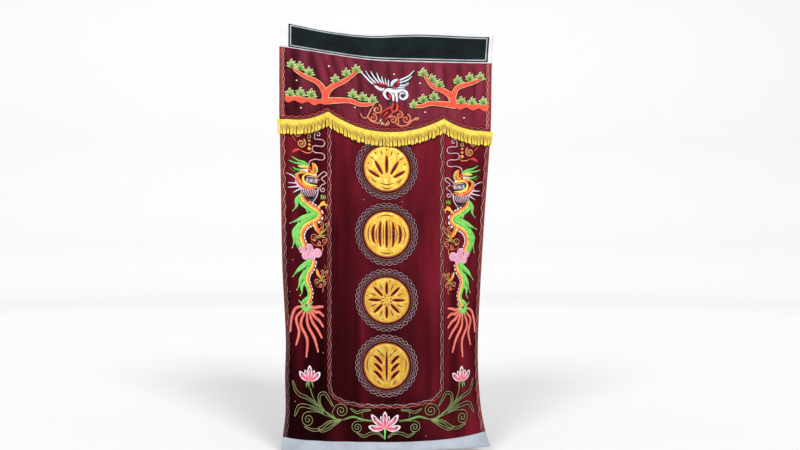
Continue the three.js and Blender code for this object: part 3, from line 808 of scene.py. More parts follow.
class Stitches:
    """Raised stitching in one thread on one cloth, gathered into one mesh.

    The last argument gathers the dark halos of velvet, painted shade, round the strips that touch the
    cloth.
    """

    def __init__(self, name, material, cloth="panel", slot=None, base=STITCH_BASE, shade_halos=None):
        self.name = name
        self.material = material
        self.cloth = cloth
        self.slot = slot
        self.base = base
        self.shade_halos = shade_halos
        self.flat = []
        self.lifts = []
        self.uvs = []
        self.faces = []
        self.count = 0

    def strip(self, path, half, crown, offset=0.0, lift=0.0):
        """A crowned strip along a path; a positive offset lies to the right of travel."""
        path = np.asarray(path, float)
        n = len(path)
        half, crown, offset, lift = (np.broadcast_to(v, n) for v in (half, crown, offset, lift))
        # Painted shade: a dark halo round a strip that lies low on the cloth.
        if self.shade_halos and lift.min() < HALO["below"]:
            self.shade_halos.strip(path, half + HALO["reach"], HALO["crown"], offset)
        _, aside = directions_of(path)
        spread = offset[:, None] + half[:, None] * SECTION
        points = path[:, None, :] + aside[:, None, :] * spread[:, :, None]
        lifts = lift[:, None] + crown[:, None] * SECTION_RISE
        run = run_of(path)
        uv = np.stack(np.broadcast_arrays(run[:, None] * MM, spread * MM), axis=-1)
        self.take(points.reshape(-1, 2), lifts.ravel(), uv.reshape(-1, 2), [
            (i * 5 + j, i * 5 + j + 1, i * 5 + j + 6, i * 5 + j + 5)
            for i in range(n - 1) for j in range(4)
        ])

    def take(self, flat, lifts, uv, faces):
        """Add one strip's or patch's points and faces to the mesh."""
        self.flat.append(flat)
        self.lifts.append(lifts)
        self.uvs.append(uv)
        self.faces += [tuple(self.count + k for k in face) for face in faces]
        self.count += len(flat)

    def patch(self, outline, holes, spacing, crown, edge, lift=0.0):
        """A padded patch: level in its middle, falling to the cloth within "edge" of its rim."""
        loops = [np.asarray(loop, float) for loop in [outline, *holes]]
        corners = np.vstack(loops)
        edges = []
        start = 0
        for loop in loops:
            edges += [(start + i, start + (i + 1) % len(loop)) for i in range(len(loop))]
            start += len(loop)
        low = corners.min(axis=0)
        high = corners.max(axis=0)
        xs = np.arange(low[0], high[0], spacing)
        ys = np.arange(low[1], high[1], spacing * 0.87)
        grid = np.array([(x + (k % 2) * spacing / 2, y) for k, y in enumerate(ys) for x in xs])
        away = edge_distance(grid, loops)
        inside = inside_loops(grid, loops) & (away > spacing * 0.45)
        points = np.vstack([corners, grid[inside]])
        found = delaunay_2d_cdt([Vector(p) for p in points], edges, [], 1, 1e-6)
        flat = np.array([tuple(v) for v in found[0]])
        middles = np.array([flat[list(face)].mean(axis=0) for face in found[2]])
        kept = inside_loops(middles, loops)
        rise = np.clip(edge_distance(flat, loops) / edge, 0, 1)
        lifts = lift + crown * np.sqrt(1 - (1 - rise) ** 2)
        faces = [tuple(face) for face, keep in zip(found[2], kept) if keep]
        faces = [face if is_facing(flat, face) else face[::-1] for face in faces]
        self.take(flat, lifts, flat * MM, faces)

    def build(self):
        flat = np.vstack(self.flat)
        lifts = np.concatenate(self.lifts) + self.base
        points = hang(flat[:, 0], flat[:, 1], lifts, self.cloth)
        piece = make_mesh(self.name, points, self.faces, self.material, np.vstack(self.uvs))
        return piece


def is_facing(flat, face):
    """True where a face's corners turn the way that faces forward, with down counted down."""
    a, b, c = (flat[k] for k in face[:3])
    return (b[0] - a[0]) * (c[1] - a[1]) - (b[1] - a[1]) * (c[0] - a[0]) < 0


def edge_distance(points, loops):
    """How far each point lies from the nearest side of any loop."""
    best = np.full(len(points), 1e9)
    for loop in loops:
        for a, b in zip(loop, np.roll(loop, -1, axis=0)):
            along = b - a
            t = np.clip(((points - a) @ along) / max(along @ along, 1e-9), 0, 1)
            best = np.minimum(best, np.linalg.norm(points - a - t[:, None] * along, axis=1))
    return best


def inside_loops(points, loops):
    """Inside the first loop and outside the others, by counting crossings."""
    inside = np.zeros(len(points), bool)
    x, y = points[:, 0], points[:, 1]
    for loop in loops:
        for (ax, ay), (bx, by) in zip(loop, np.roll(loop, -1, axis=0)):
            crosses = (ay > y) != (by > y)
            reach = ax + (y - ay) * (bx - ax) / (by - ay if by != ay else 1e-9)
            inside ^= crosses & (x < reach)
    return inside


def chain(first, second, path, swing, link, half, crown=1.1, lift=0.0):
    """Two cords that cross each other once a link, each over and under by turns."""
    path = even(np.asarray(path, float), link / 9)
    run = run_of(path)
    crossings = 2 * max(1, round(run[-1] / link / 2))
    phase = math.pi * crossings * run / run[-1]
    for stitches, sign in ((first, 1), (second, -1)):
        over = 0.4 + 0.4 * sign * np.cos(phase)
        stitches.strip(path, half, crown, offset=sign * swing * np.sin(phase), lift=lift + over)


# ---------------------------------------------------------------- threads

# Painted shade on the braids, darker lower down and most on the left: middle across, half width, top,
# foot and tone.
BRAID_SHADE = [
    (-0.45, 0.15, -0.7, -2.2, 0.5), (-0.45, 0.15, -1.2, -2.3, 0.42),
    (-0.22, 0.13, -0.6, -2.1, 0.58), (0.36, 0.3, -0.8, -2.3, 0.76),
]
BRAID_RED = thread("thread_braid_red", (108, 20, 18), (178, 50, 38), places=BRAID_SHADE)
BRAID_ROSE = thread("thread_braid_rose", (136, 90, 92), (212, 166, 162), places=BRAID_SHADE)
BRAID_DARK = thread("thread_braid_dark", (46, 6, 9), (92, 16, 18), 0.6, places=BRAID_SHADE)
BRAID_WINE = thread("thread_braid_wine", (70, 20, 28), (120, 56, 60))
EDGE_RED = thread("thread_edge_red", (134, 18, 20), (190, 42, 38))
EDGE_ROSE = thread("thread_edge_rose", (150, 74, 74), (214, 140, 132))
EDGE_DARK = thread("thread_edge_dark", (66, 8, 12), (112, 18, 20), 0.6)
RING_MAUVE = thread("thread_mauve", (118, 76, 90), (186, 144, 154))
RING_TAN = thread("thread_tan", (96, 52, 40), (172, 122, 96))
RING_RUST = thread("thread_rust", (84, 14, 12), (164, 66, 30))
DISC_AMBER = thread("thread_amber", (190, 108, 20), (236, 164, 44))
DISC_VEIN = thread("thread_disc_vein", (66, 12, 18), (110, 24, 30))
DISC_DOT = thread("thread_disc_stitch", (120, 84, 20), (178, 130, 34), 0.6)
FRINGE_YELLOW = thread("fringe_yellow", (220, 172, 40), (254, 234, 92), 0.4)
# The fringe's dark thread is painted shade that shows between the strands.
FRINGE_SHADE = thread("fringe_shade", (92, 46, 12), (164, 100, 28), 0.5)


# Dark halos of velvet with no slope value: painted shade round the stitches.
PANEL_SHADE_HALOS = Stitches("panel_shade_halos", VELVET_PANEL, "panel", "panel_velvet")
VALANCE_SHADE_HALOS = Stitches("valance_shade_halos", VELVET_VALANCE, "valance", "valance_velvet")


BAND = {"inset": 6, "half": 5.8, "crown": 0.7, "row": 6}
INNER_INSET = 16
# Swing, link length and half width of the braids' chains.
BAND_CHAIN = (3.6, 24, 1.5)
INNER_CHAIN = (4.4, 28, 1.5)
FIELD_CHAIN = (3.8, 30, 1.4)


def side_braid(ground, red, inner_red, rose, top, bottom):
    """A dark band with a chain on it along each long edge, and one more chain just inside it."""
    down = np.linspace(top, bottom, round((bottom - top) / BAND["row"]))
    for side in (-1, 1):
        band, inner = (
            np.array([(side * (HALF - EDGE_MARGIN - inset), d) for d in down])
            for inset in (BAND["inset"], INNER_INSET)
        )
        ground.strip(band, BAND["half"], BAND["crown"])
        chain(red, red, band, *BAND_CHAIN, lift=0.5)
        chain(inner_red, rose, inner, *INNER_CHAIN)


def build_braids():
    """The main panel's braids: along its long edges and round its middle field."""
    ground = Stitches("braid_ground", BRAID_DARK, slot="braid_red")
    red = Stitches("braid_red", BRAID_RED, slot="braid_red", shade_halos=PANEL_SHADE_HALOS)
    rose = Stitches("braid_rose", BRAID_ROSE, slot="braid_red", shade_halos=PANEL_SHADE_HALOS)
    wine = Stitches("braid_wine", BRAID_WINE, slot="braid_red")
    side_braid(ground, red, red, rose, 300, VELVET_LENGTH - 3)
    red_line = even(field_line(-5), 3)
    red.strip(red_line, 2.6, 1.2, offset=1.7 * wave_along(red_line, 29))
    chain(rose, wine, field_line(5), *FIELD_CHAIN)
    return [ground.build(), red.build(), rose.build(), wine.build()]


def field_line(inset):
    """The line round the middle field from its top left to its top right, evenly spaced."""
    half = FIELD["half"] - inset
    depth = FIELD["bottom"] - inset - FIELD["leg_end"]
    power = 2 / FIELD["squareness"]
    angles = np.linspace(math.pi, 0, 61)
    turn = np.column_stack([
        half * np.sign(np.cos(angles)) * np.abs(np.cos(angles)) ** power,
        FIELD["leg_end"] + depth * np.abs(np.sin(angles)) ** power,
    ])
    return even(np.vstack([(-half, FIELD["top"]), turn, (half, FIELD["top"])]), 4)


def build_valance_braid():
    """The valance's braid: down its long edges and along its scallops."""
    ground = Stitches("valance_braid_ground", EDGE_DARK, "valance", "braid_red")
    red = Stitches("valance_braid_red", EDGE_RED, "valance", "braid_red", shade_halos=VALANCE_SHADE_HALOS)
    rose = Stitches("valance_braid_rose", EDGE_ROSE, "valance", "braid_red")
    wine = Stitches("valance_braid_wine", BRAID_WINE, "valance", "braid_red")
    side_braid(ground, red, rose, rose, 2, 286)
    reach = HALF - EDGE_MARGIN - 4
    across = np.linspace(-reach, reach, 240)
    edge = even(np.column_stack([across, scallop(across) - 8]), 3)
    wave = wave_along(edge, 30)
    ground.strip(edge, 3.4, 0.6, offset=3.5)
    red.strip(edge, 2.3, 1.1, offset=-4.5 + 2.2 * wave)
    wine.strip(edge, 1.6, 1.0, offset=1.0 - 2.6 * wave, lift=0.5)
    return [ground.build(), red.build(), rose.build(), wine.build()]


FRAME_LINE = {"side": 9, "top": 6, "bottom": 7, "half": 2.4, "crown": 0.3, "step": 8}


def build_strip_frame():
    """The thin pale line round the black strip."""
    frame_line = Stitches("strip_frame", LINE_GREY, slot="strip_cloth", base=0.15)
    left, right = STRIP["left"] + FRAME_LINE["side"], STRIP["right"] - FRAME_LINE["side"]
    top = STRIP["top"] + FRAME_LINE["top"] - HEADER_HEIGHT
    bottom = -STRIP["bottom"] - FRAME_LINE["bottom"]
    corners = [(left, bottom), (left, top), (right, top), (right, bottom), (left, bottom)]
    for start, end in zip(corners, corners[1:]):
        steps = max(6, round(math.dist(start, end) / FRAME_LINE["step"]))
        side = np.linspace(start, end, steps)
        frame_line.strip(side, FRAME_LINE["half"], FRAME_LINE["crown"])
    return frame_line.build()


# Pitch, half width and lift of the fringe's two layers, the darker one behind, painted shade between
# the strands.
SHADE_LAYER = (5.2, 2.7, 0.0)
STRAND_LAYER = (4.7, 2.3, 1.1)
# How the strands fall: uneven lengths, and ends that gather in clumps, stray and sway.
FALL = {
    "short": 2, "uneven": 2.4, "clump_uneven": 2.0, "gather": 0.34, "stray": 1.2, "sway": 2.6,
    "sway_length": 43, "waist": 0.52, "twist": 0.12, "loose": 0.6,
}


def build_fringe():
    """Twisted strands in two layers, the darker one, painted shade, showing through gaps lower down.
    """
    base = FRONT + 0.4
    shade = Stitches("fringe_shade", FRINGE_SHADE, "valance", "fringe_rayon", base)
    strands = Stitches("fringe_strands", FRINGE_YELLOW, "valance", "fringe_rayon", base)
    heading = Stitches("fringe_heading", FRINGE_YELLOW, "valance", "fringe_rayon", base)
    reach = HALF + FRINGE_PAST
    for stitches, (pitch, half, lift) in ((shade, SHADE_LAYER), (strands, STRAND_LAYER)):
        for a in np.arange(-reach + 2, reach - 1, pitch):
            wobble = RNG.uniform(-1, 1, 3)
            top = float(scallop(a)) + 1
            clump = math.floor(a / FRINGE_CLUMP)
            gather = FRINGE_CLUMP * (clump + 0.5 + 0.2 * math.sin(5 * clump)) - a
            length = FRINGE_LENGTH - FALL["short"] + FALL["uneven"] * wobble[0]
            length += FALL["clump_uneven"] * math.sin(3 * clump)
            sway = FALL["gather"] * gather + FALL["stray"] * wobble[1]
            sway += FALL["sway"] * math.sin(a / FALL["sway_length"])
            path = curve([
                (a, top), (a, top + 0.35 * length), (a + 0.5 * sway, top + 0.7 * length),
                (a + sway, top + length),
            ], 4.6)
            share = np.linspace(0, 1, len(path))
            waist = smooth(share, 0.2, 0.5) * (1 - 0.6 * smooth(share, 0.65, 0.95))
            thin = 1 - FALL["waist"] * waist + FALL["twist"] * np.sin(share * 14 + a)
            strands_lift = lift + FALL["loose"] * wobble[2] * smooth(share, 0.3, 1)
            stitches.strip(path, half * thin, 1.5 * thin, lift=strands_lift)
    across = np.linspace(-reach, reach, 260)
    for offset in (5, 15):
        line = even(np.column_stack([across, scallop(across) + offset]), 4)
        heading.strip(line, 1.5, 1.0, lift=2.3)
    return [strands.build(), shade.build(), heading.build()]


# ---------------------------------------------------------------- discs and their rings


def slot_outline(x, y, along, wide, bow=0.0, turn=0.0, steps=9):
    """A leaf-shaped slot in shares of the disc's radius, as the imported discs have."""
    lean = math.radians(turn)
    points = []
    for sign in (1, -1):
        for t in np.arange(steps) / steps:
            up = sign * along * math.cos(math.pi * t)
            out = (sign * wide + bow) * math.sin(math.pi * t)
            points.append((
                x + up * math.sin(lean) + out * math.cos(lean),
                y + up * math.cos(lean) - out * math.sin(lean),
            ))
    return np.array(points)


def palmette():
    slots = []
    for turn in (-60, -30, 0, 30, 60):
        lean = math.radians(turn)
        along = 0.4 - 0.0018 * abs(turn)
        reach = 0.36 + along
        slots.append((reach * math.sin(lean), -0.58 + reach * math.cos(lean), along, 0.06, 0, turn))
    return slots


def lantern():
    return [(0.25 * k, 0, 0.62 - 0.05 * k * k, 0.06, 0.06 * k, 0) for k in range(-2, 3)]


def rosette():
    slots = []
    for k in range(8):
        lean = math.radians(45 * k)
        slots.append((0.53 * math.sin(lean), 0.53 * math.cos(lean), 0.29, 0.06, 0, 45 * k))
    return slots


def sprig():
    leaves = [
        (side * 0.4, y, 0.27, 0.07, -0.05 * side, side * 44)
        for y in (-0.42, -0.08, 0.26) for side in (-1, 1)
    ]
    return [(0, 0, 0.68, 0.05, 0, 0), *leaves]


def vein_line(x, y, along, bow=0.0, turn=0.0):
    """The middle line of a leaf like a slot's, for stitching between the slots."""
    lean = math.radians(turn)
    t = np.linspace(-1, 1, 5)
    up = along * t
    out = bow * (1 - t**2)
    return np.column_stack([
        x + up * math.sin(lean) + out * math.cos(lean),
        y + up * math.cos(lean) - out * math.sin(lean),
    ])


def ray(turn, reach, along):
    """A vein that points away from the middle of the disc."""
    lean = math.radians(turn)
    return (reach * math.sin(lean), reach * math.cos(lean), along, 0.0, turn)


DISC_VEINS = [
    [
        *[ray(turn, 0.68 + 0.002 * abs(turn), 0.15) for turn in (-56, -18, 18, 56)],
        *[ray(turn, 0.84, 0.06) for turn in (-76, -37, 0, 37, 76)],
        (0, -0.62, 0.34, 0.1, 90), (0, -0.8, 0.26, 0.1, 90),
        (-0.56, -0.52, 0.18, -0.05, -50), (0.56, -0.52, 0.18, 0.05, 50),
    ],
    [
        *[(0.25 * k + 0.125, 0, 0.5 - 0.06 * k * (k + 1), 0.03 + 0.06 * k, 0)
          for k in range(-2, 2)],
        *[(0, side * 0.78, 0.3, -side * 0.08, 90) for side in (-1, 1)],
        *[(side * 0.74, 0, 0.4, side * 0.09, 0) for side in (-1, 1)],
    ],
    [
        *[ray(22.5 + 45 * k, 0.64, 0.17) for k in range(8)],
        *[ray(22.5 + 45 * k, 0.2, 0.06) for k in range(8)],
        *[ray(45 * k + 11, 0.88, 0.04) for k in range(8)],
    ],
    [
        *[(side * 0.78, 0.05, 0.34, side * 0.09, 0) for side in (-1, 1)],
        *[(side * 0.19, y, 0.14, 0, side * 44) for y in (-0.62, 0.5) for side in (-1, 1)],
        *[(side * 0.36, y, 0.14, 0, side * 44) for y in (-0.74, 0.66) for side in (-1, 1)],
    ],
]


PAD = {"spacing": 5.5, "crown": 2.8, "edge": 8.0}
VEIN = {"half": 2.6, "crown": 0.6, "step": 2.34}
# Radius, swing, link length and half width of the chains round a disc.
TAN_RING = (106, 1.6, 18, 0.65)
MAUVE_RINGS = [(114.5, 2.4, 24, 0.6), (125.5, 5.8, 25, 1.15)]


def build_discs():
    """The four padded discs, each with its pierced pattern, its stitches and its rings."""
    pieces = []
    edging = Stitches("disc_edging", RING_RUST, slot="gold_satin")
    mauve = Stitches("disc_rings_mauve", RING_MAUVE, slot="gold_satin", shade_halos=PANEL_SHADE_HALOS)
    tan = Stitches("disc_rings_tan", RING_TAN, slot="gold_satin", shade_halos=PANEL_SHADE_HALOS)
    amber = Stitches("disc_amber", DISC_AMBER, slot="gold_satin")
    veins = Stitches("disc_veins", DISC_VEIN, slot="gold_satin")
    dots = Stitches("disc_stitches", DISC_DOT, slot="gold_satin")
    for index, pattern in enumerate((palmette, lantern, rosette, sprig)):
        middle = np.array((DISC_ACROSS, FIRST_DISC_DOWN + index * DISC_PITCH), float)
        slots = [
            middle + slot_outline(*slot) * (DISC_RADIUS, -DISC_RADIUS) for slot in pattern()
        ]
        rim = circle(middle, DISC_RADIUS - 1, 5.0)[:-1]
        disc = Stitches(f"disc_{index + 1}", GOLD, slot="gold_satin", base=FRONT + 0.3)
        disc.patch(rim, slots, **PAD)
        pieces.append(disc.build())
        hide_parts(f"medallion_{index + 1}")
        edging.strip(circle(middle, DISC_RADIUS + 1.5), 1.8, 0.9)
        amber.strip(circle(middle, DISC_RADIUS - 4.5), 2.0, 0.6, lift=1.8)
        for slot in slots:
            path = even(np.vstack([slot, slot[:1]]), 4)
            edging.strip(path, 1.7, 1.4)
            amber.strip(path, 1.5, 0.7, offset=-2.6, lift=1.6)
        for vein in DISC_VEINS[index]:
            place = middle + vein_line(*vein) * (DISC_RADIUS, -DISC_RADIUS)
            veins.strip(*stroke_shape(place, form="leaf", **VEIN), lift=3.0)
        quilt(dots, middle, slots)
        for cord, (radius, *links) in zip((tan, mauve, mauve), (TAN_RING, *MAUVE_RINGS)):
            chain(cord, cord, circle(middle, radius), *links)
    trims = (edging, amber, veins, mauve, tan, dots)
    return pieces + [trim.build() for trim in trims]


QUILT = {"clear": 6.5, "rim": 9, "radius": 1.8, "crown": 0.7}


def quilt(dots, middle, slots):
    """Small stitches that hold the padding down, in rows clear of the slots and the rim."""
    corners = np.vstack(slots) - middle
    for row in np.arange(-80, 81, 13):
        for k, across in enumerate(np.arange(-84, 85, 11)):
            place = np.array((across + (row % 2) * 3, row + (k % 2) * 4.0))
            near_slot = np.linalg.norm(corners - place, axis=1).min() < QUILT["clear"]
            if near_slot or np.hypot(*place) > DISC_RADIUS - QUILT["rim"]:
                continue
            dots.strip(*bead_shape(middle + place, QUILT["radius"], QUILT["crown"]), lift=2.9)


# ---------------------------------------------------------------- embroidery

WHITE = thread("thread_white", (166, 172, 194), (244, 245, 251))
STEEL = thread("thread_steel", (70, 80, 98), (150, 160, 178))
INK = thread("thread_ink", (16, 12, 16), (38, 30, 36))
SCARLET = thread("thread_scarlet", (158, 18, 14), (226, 50, 34))
CORAL = thread("thread_coral", (206, 52, 26), (246, 92, 58))
ORANGE = thread("thread_orange", (206, 84, 24), (250, 148, 52))
YELLOW = thread("thread_yellow", (206, 164, 42), (248, 226, 92))
LEAF_GREEN = thread("thread_leaf_green", (84, 128, 48), (166, 200, 108))
FAN_TIP = thread("thread_fan_tip", (172, 172, 98), (234, 224, 158))
BRIGHT_GREEN = thread("thread_bright_green", (60, 156, 52), (122, 222, 96))
DARK_GREEN = thread("thread_dark_green", (22, 60, 22), (56, 104, 44))
OLIVE = thread("thread_olive", (70, 78, 22), (126, 138, 58))
STEM_GREEN = thread("thread_stem_green", (54, 92, 36), (116, 152, 76))
VINE_LINE = thread("thread_vine_line", (62, 66, 28), (120, 122, 64))
VINE_SHINE = thread("thread_vine_shine", (108, 106, 62), (166, 154, 108))
DEEP_PINK = thread("thread_deep_pink", (150, 32, 66), (204, 70, 106))
PINK = thread("thread_pink", (200, 84, 116), (232, 126, 152))
TAIL_CORAL = thread("thread_tail_coral", (172, 46, 40), (218, 88, 74))
PALE_CORAL = thread("thread_pale_coral", (204, 104, 90), (236, 154, 136))
PALE_PINK = thread("thread_pale_pink", (222, 150, 166), (250, 202, 210))
MAUVE = thread("thread_whisker", (150, 106, 118), (222, 178, 182))
BEARD = thread("thread_beard", (150, 122, 142), (228, 208, 220))
PETAL_EDGE = thread("thread_petal_edge", (190, 164, 180), (242, 226, 234))
TAN = thread("thread_pale_tan", (176, 128, 84), (232, 194, 148))
RUST = thread("thread_scroll_rust", (136, 36, 24), (214, 84, 58))
APRICOT = thread("thread_apricot", (176, 88, 48), (228, 152, 98))
LILAC = thread("thread_lilac", (180, 126, 152), (226, 180, 200))
SEQUIN_CREAM = thread("sequin_cream", (216, 190, 164), (252, 238, 218), 0.2)
SEQUIN_DULL = thread("sequin_dull", (126, 96, 98), (176, 146, 146), 0.2)
SEQUIN_GREEN = thread("sequin_green", (40, 96, 66), (90, 168, 118), 0.2)


class Embroidery:
    """One cloth's motifs, with a Stitches for each thread; mirrored ones are worked twice."""

    def __init__(self, prefix, cloth, slot, shade_halos):
        self.prefix = prefix
        self.cloth = cloth
        self.slot = slot
        self.shade_halos = shade_halos
        self.threads = {}
        self.mirrored = False
        self.origin = np.zeros(2)

    def stitches(self, material):
        if material.name not in self.threads:
            name = f"{self.prefix}_{material.name}"
            self.threads[material.name] = Stitches(
                name, material, self.cloth, self.slot, shade_halos=self.shade_halos
            )
        return self.threads[material.name]

    def strip(self, material, path, half, crown, offset=0.0, lift=0.0):
        """A crowned strip, and its mirror image where the motif is worked twice."""
        path = np.asarray(path, float) + self.origin
        self.stitches(material).strip(path, half, crown, offset, lift)
        if self.mirrored:
            offset = -np.asarray(offset)
            self.stitches(material).strip(path * (-1, 1), half, crown, offset, lift)

    def stroke(self, material, points, half, form="round", lift=0.0, crown=None):
        self.strip(material, *stroke_shape(points, half, form, crown), lift=lift)

    def layers(self, points, *rows):
        """One line in several threads: each a thread, half width, form, lift and any shift."""
        for material, half, form, lift, *shift in rows:
            line = moved(points, *shift) if shift else points
            self.stroke(material, line, half, form, lift)

    def bead(self, material, middle, radius, lift=0.0, crown=None):
        self.strip(material, *bead_shape(middle, radius, crown), lift=lift)

    def curl(self, material, middle, radius, half=2.2, turns=1.5, start=0, side=1, lift=0.0):
        """A spiral that thins towards its middle."""
        path = spiral(middle, radius, turns, start, side)
        shares = np.linspace(1, 0.6, len(path))
        self.strip(material, path, half * shares, 1.0, lift=lift)

    def build(self):
        return [stitches.build() for stitches in self.threads.values()]


def pine_fan(e, middle):
    """A tuft of needles: dark ones behind, light ones in front, each with a pale tip."""
    x, y = middle
    foot = (x, y + 17)
    for k in range(11):
        turn = math.radians(-90 + 18 * k)
        tip = (x + 25 * math.sin(turn), foot[1] - 33 * max(0.1, math.cos(turn)) ** 0.8)
        bend = halfway(foot, tip, -1)
        e.stroke(DARK_GREEN, [foot, bend, tip], 3.4, "broad")
    for k in range(8):
        turn = math.radians(-84 + 24 * k)
        reach = 1.0 if k % 2 else 0.84
        rise = 34 * reach * max(0.16, math.cos(turn)) ** 0.9
        tip = (x + 24 * reach * math.sin(turn), foot[1] - rise)
        bend = halfway(foot, tip, -1)
        e.stroke(LEAF_GREEN, [foot, bend, tip], 4.6, "broad", lift=0.5)
        e.stroke(FAN_TIP, [halfway(bend, tip), tip], 3.2, "broad", lift=1.3)
        e.bead(SEQUIN_CREAM, tip, 1.3, lift=1.8)
    for k in range(5):
        turn = math.radians(-60 + 30 * k)
        tip = (x + 15 * math.sin(turn), foot[1] - 22 * math.cos(turn))
        bend = halfway(foot, tip)
        e.stroke(DARK_GREEN, [foot, bend, tip], 1.3, "leaf", lift=1.9)
    e.bead(SEQUIN_CREAM, (x + 1, y - 17), 2.6, lift=1.5)


LIMB = {"start": 13, "end": 4.5, "edge": 3.0}


def pine_limb(e, points):
    """A padded coral limb that narrows towards a pale tip, with a pale edge and dark lines."""
    path = curve(points, 4.0)
    run = run_of(path)
    half = LIMB["start"] + (LIMB["end"] - LIMB["start"]) * run / run[-1]
    half = half * width_shares(path, LIMB["start"], "round")
    e.strip(TAN, path, half + LIMB["edge"], 0.9)
    e.strip(CORAL, path, half, 1.8, lift=0.7)
    for offset in (-0.45, 0.1, 0.5):
        e.strip(SCARLET, path[4:-3], 0.7, 0.5, offset=offset * half[4:-3], lift=2.1)
    e.strip(APRICOT, path[-8:], 0.8 * half[-8:] * np.linspace(0.1, 1, 8), 0.6, lift=1.9)


PINES = [
    {
        "trunk": [(-426, 211), (-350, 206), (-272, 204), (-236, 199)],
        "bough": [(-262, 198), (-200, 186), (-150, 181), (-100, 192), (-44, 179)],
        "branches": [
            [(-256, 205), (-257, 165), (-284, 125), (-330, 111), (-365, 98), (-390, 80)],
            [(-258, 208), (-250, 165), (-223, 131), (-180, 106), (-148, 80), (-116, 50)],
        ],
        "fans": [
            (-396, 63), (-362, 68), (-322, 84), (-210, 97), (-165, 64), (-124, 44),
            (-403, 183), (-358, 174), (-312, 172), (-138, 149), (-97, 158), (-56, 163),
        ],
    },
    {
        "trunk": [(436, 194), (380, 190), (310, 184), (262, 181)],
        "bough": [(300, 184), (240, 176), (190, 174), (150, 186), (114, 189)],
        "branches": [
            [(282, 188), (276, 150), (250, 124), (200, 104), (172, 72), (154, 44)],
            [(284, 190), (284, 145), (298, 110), (334, 94), (375, 82), (414, 62)],
        ],
        "fans": [
            (156, 43), (193, 67), (224, 90), (304, 72), (355, 58), (400, 57),
            (118, 178), (156, 154), (202, 141), (318, 161), (365, 164), (414, 163),
        ],
    },
]


BARK_WAVE = 55


def build_pines(e):
    """Each pine: its limbs, a thick wavy trunk over their roots, and the tufts of needles."""
    for tree in PINES:
        for limb in (*tree["branches"], tree["bough"]):
            pine_limb(e, limb)
        path = curve(tree["trunk"], 4.0)
        run = run_of(path)
        wave = wave_along(path, BARK_WAVE)
        hump = wave_along(path, BARK_WAVE, 1)
        below = math.copysign(1, path[-1, 0] - path[0, 0])
        ends = width_shares(path, 8.0, "round")
        fade = 1 - smooth(run / run[-1], 0.75, 1)
        top = -3.0 - 2.0 * hump
        e.strip(TAN, path, 9.8 * ends, 0.8, offset=below * (top - 1.0))
        e.strip(CORAL, path, 8.2 * ends, 1.8, offset=below * top, lift=0.7)
        e.strip(CORAL, path, 7.5 * ends, 1.7, offset=below * (3 + 5 * wave) * fade, lift=0.75)
        for offset in (-6, 0):
            e.strip(SCARLET, path[3:-3], 0.7, 0.5, offset=below * offset, lift=2.2)
        for fan in tree["fans"]:
            pine_fan(e, fan)


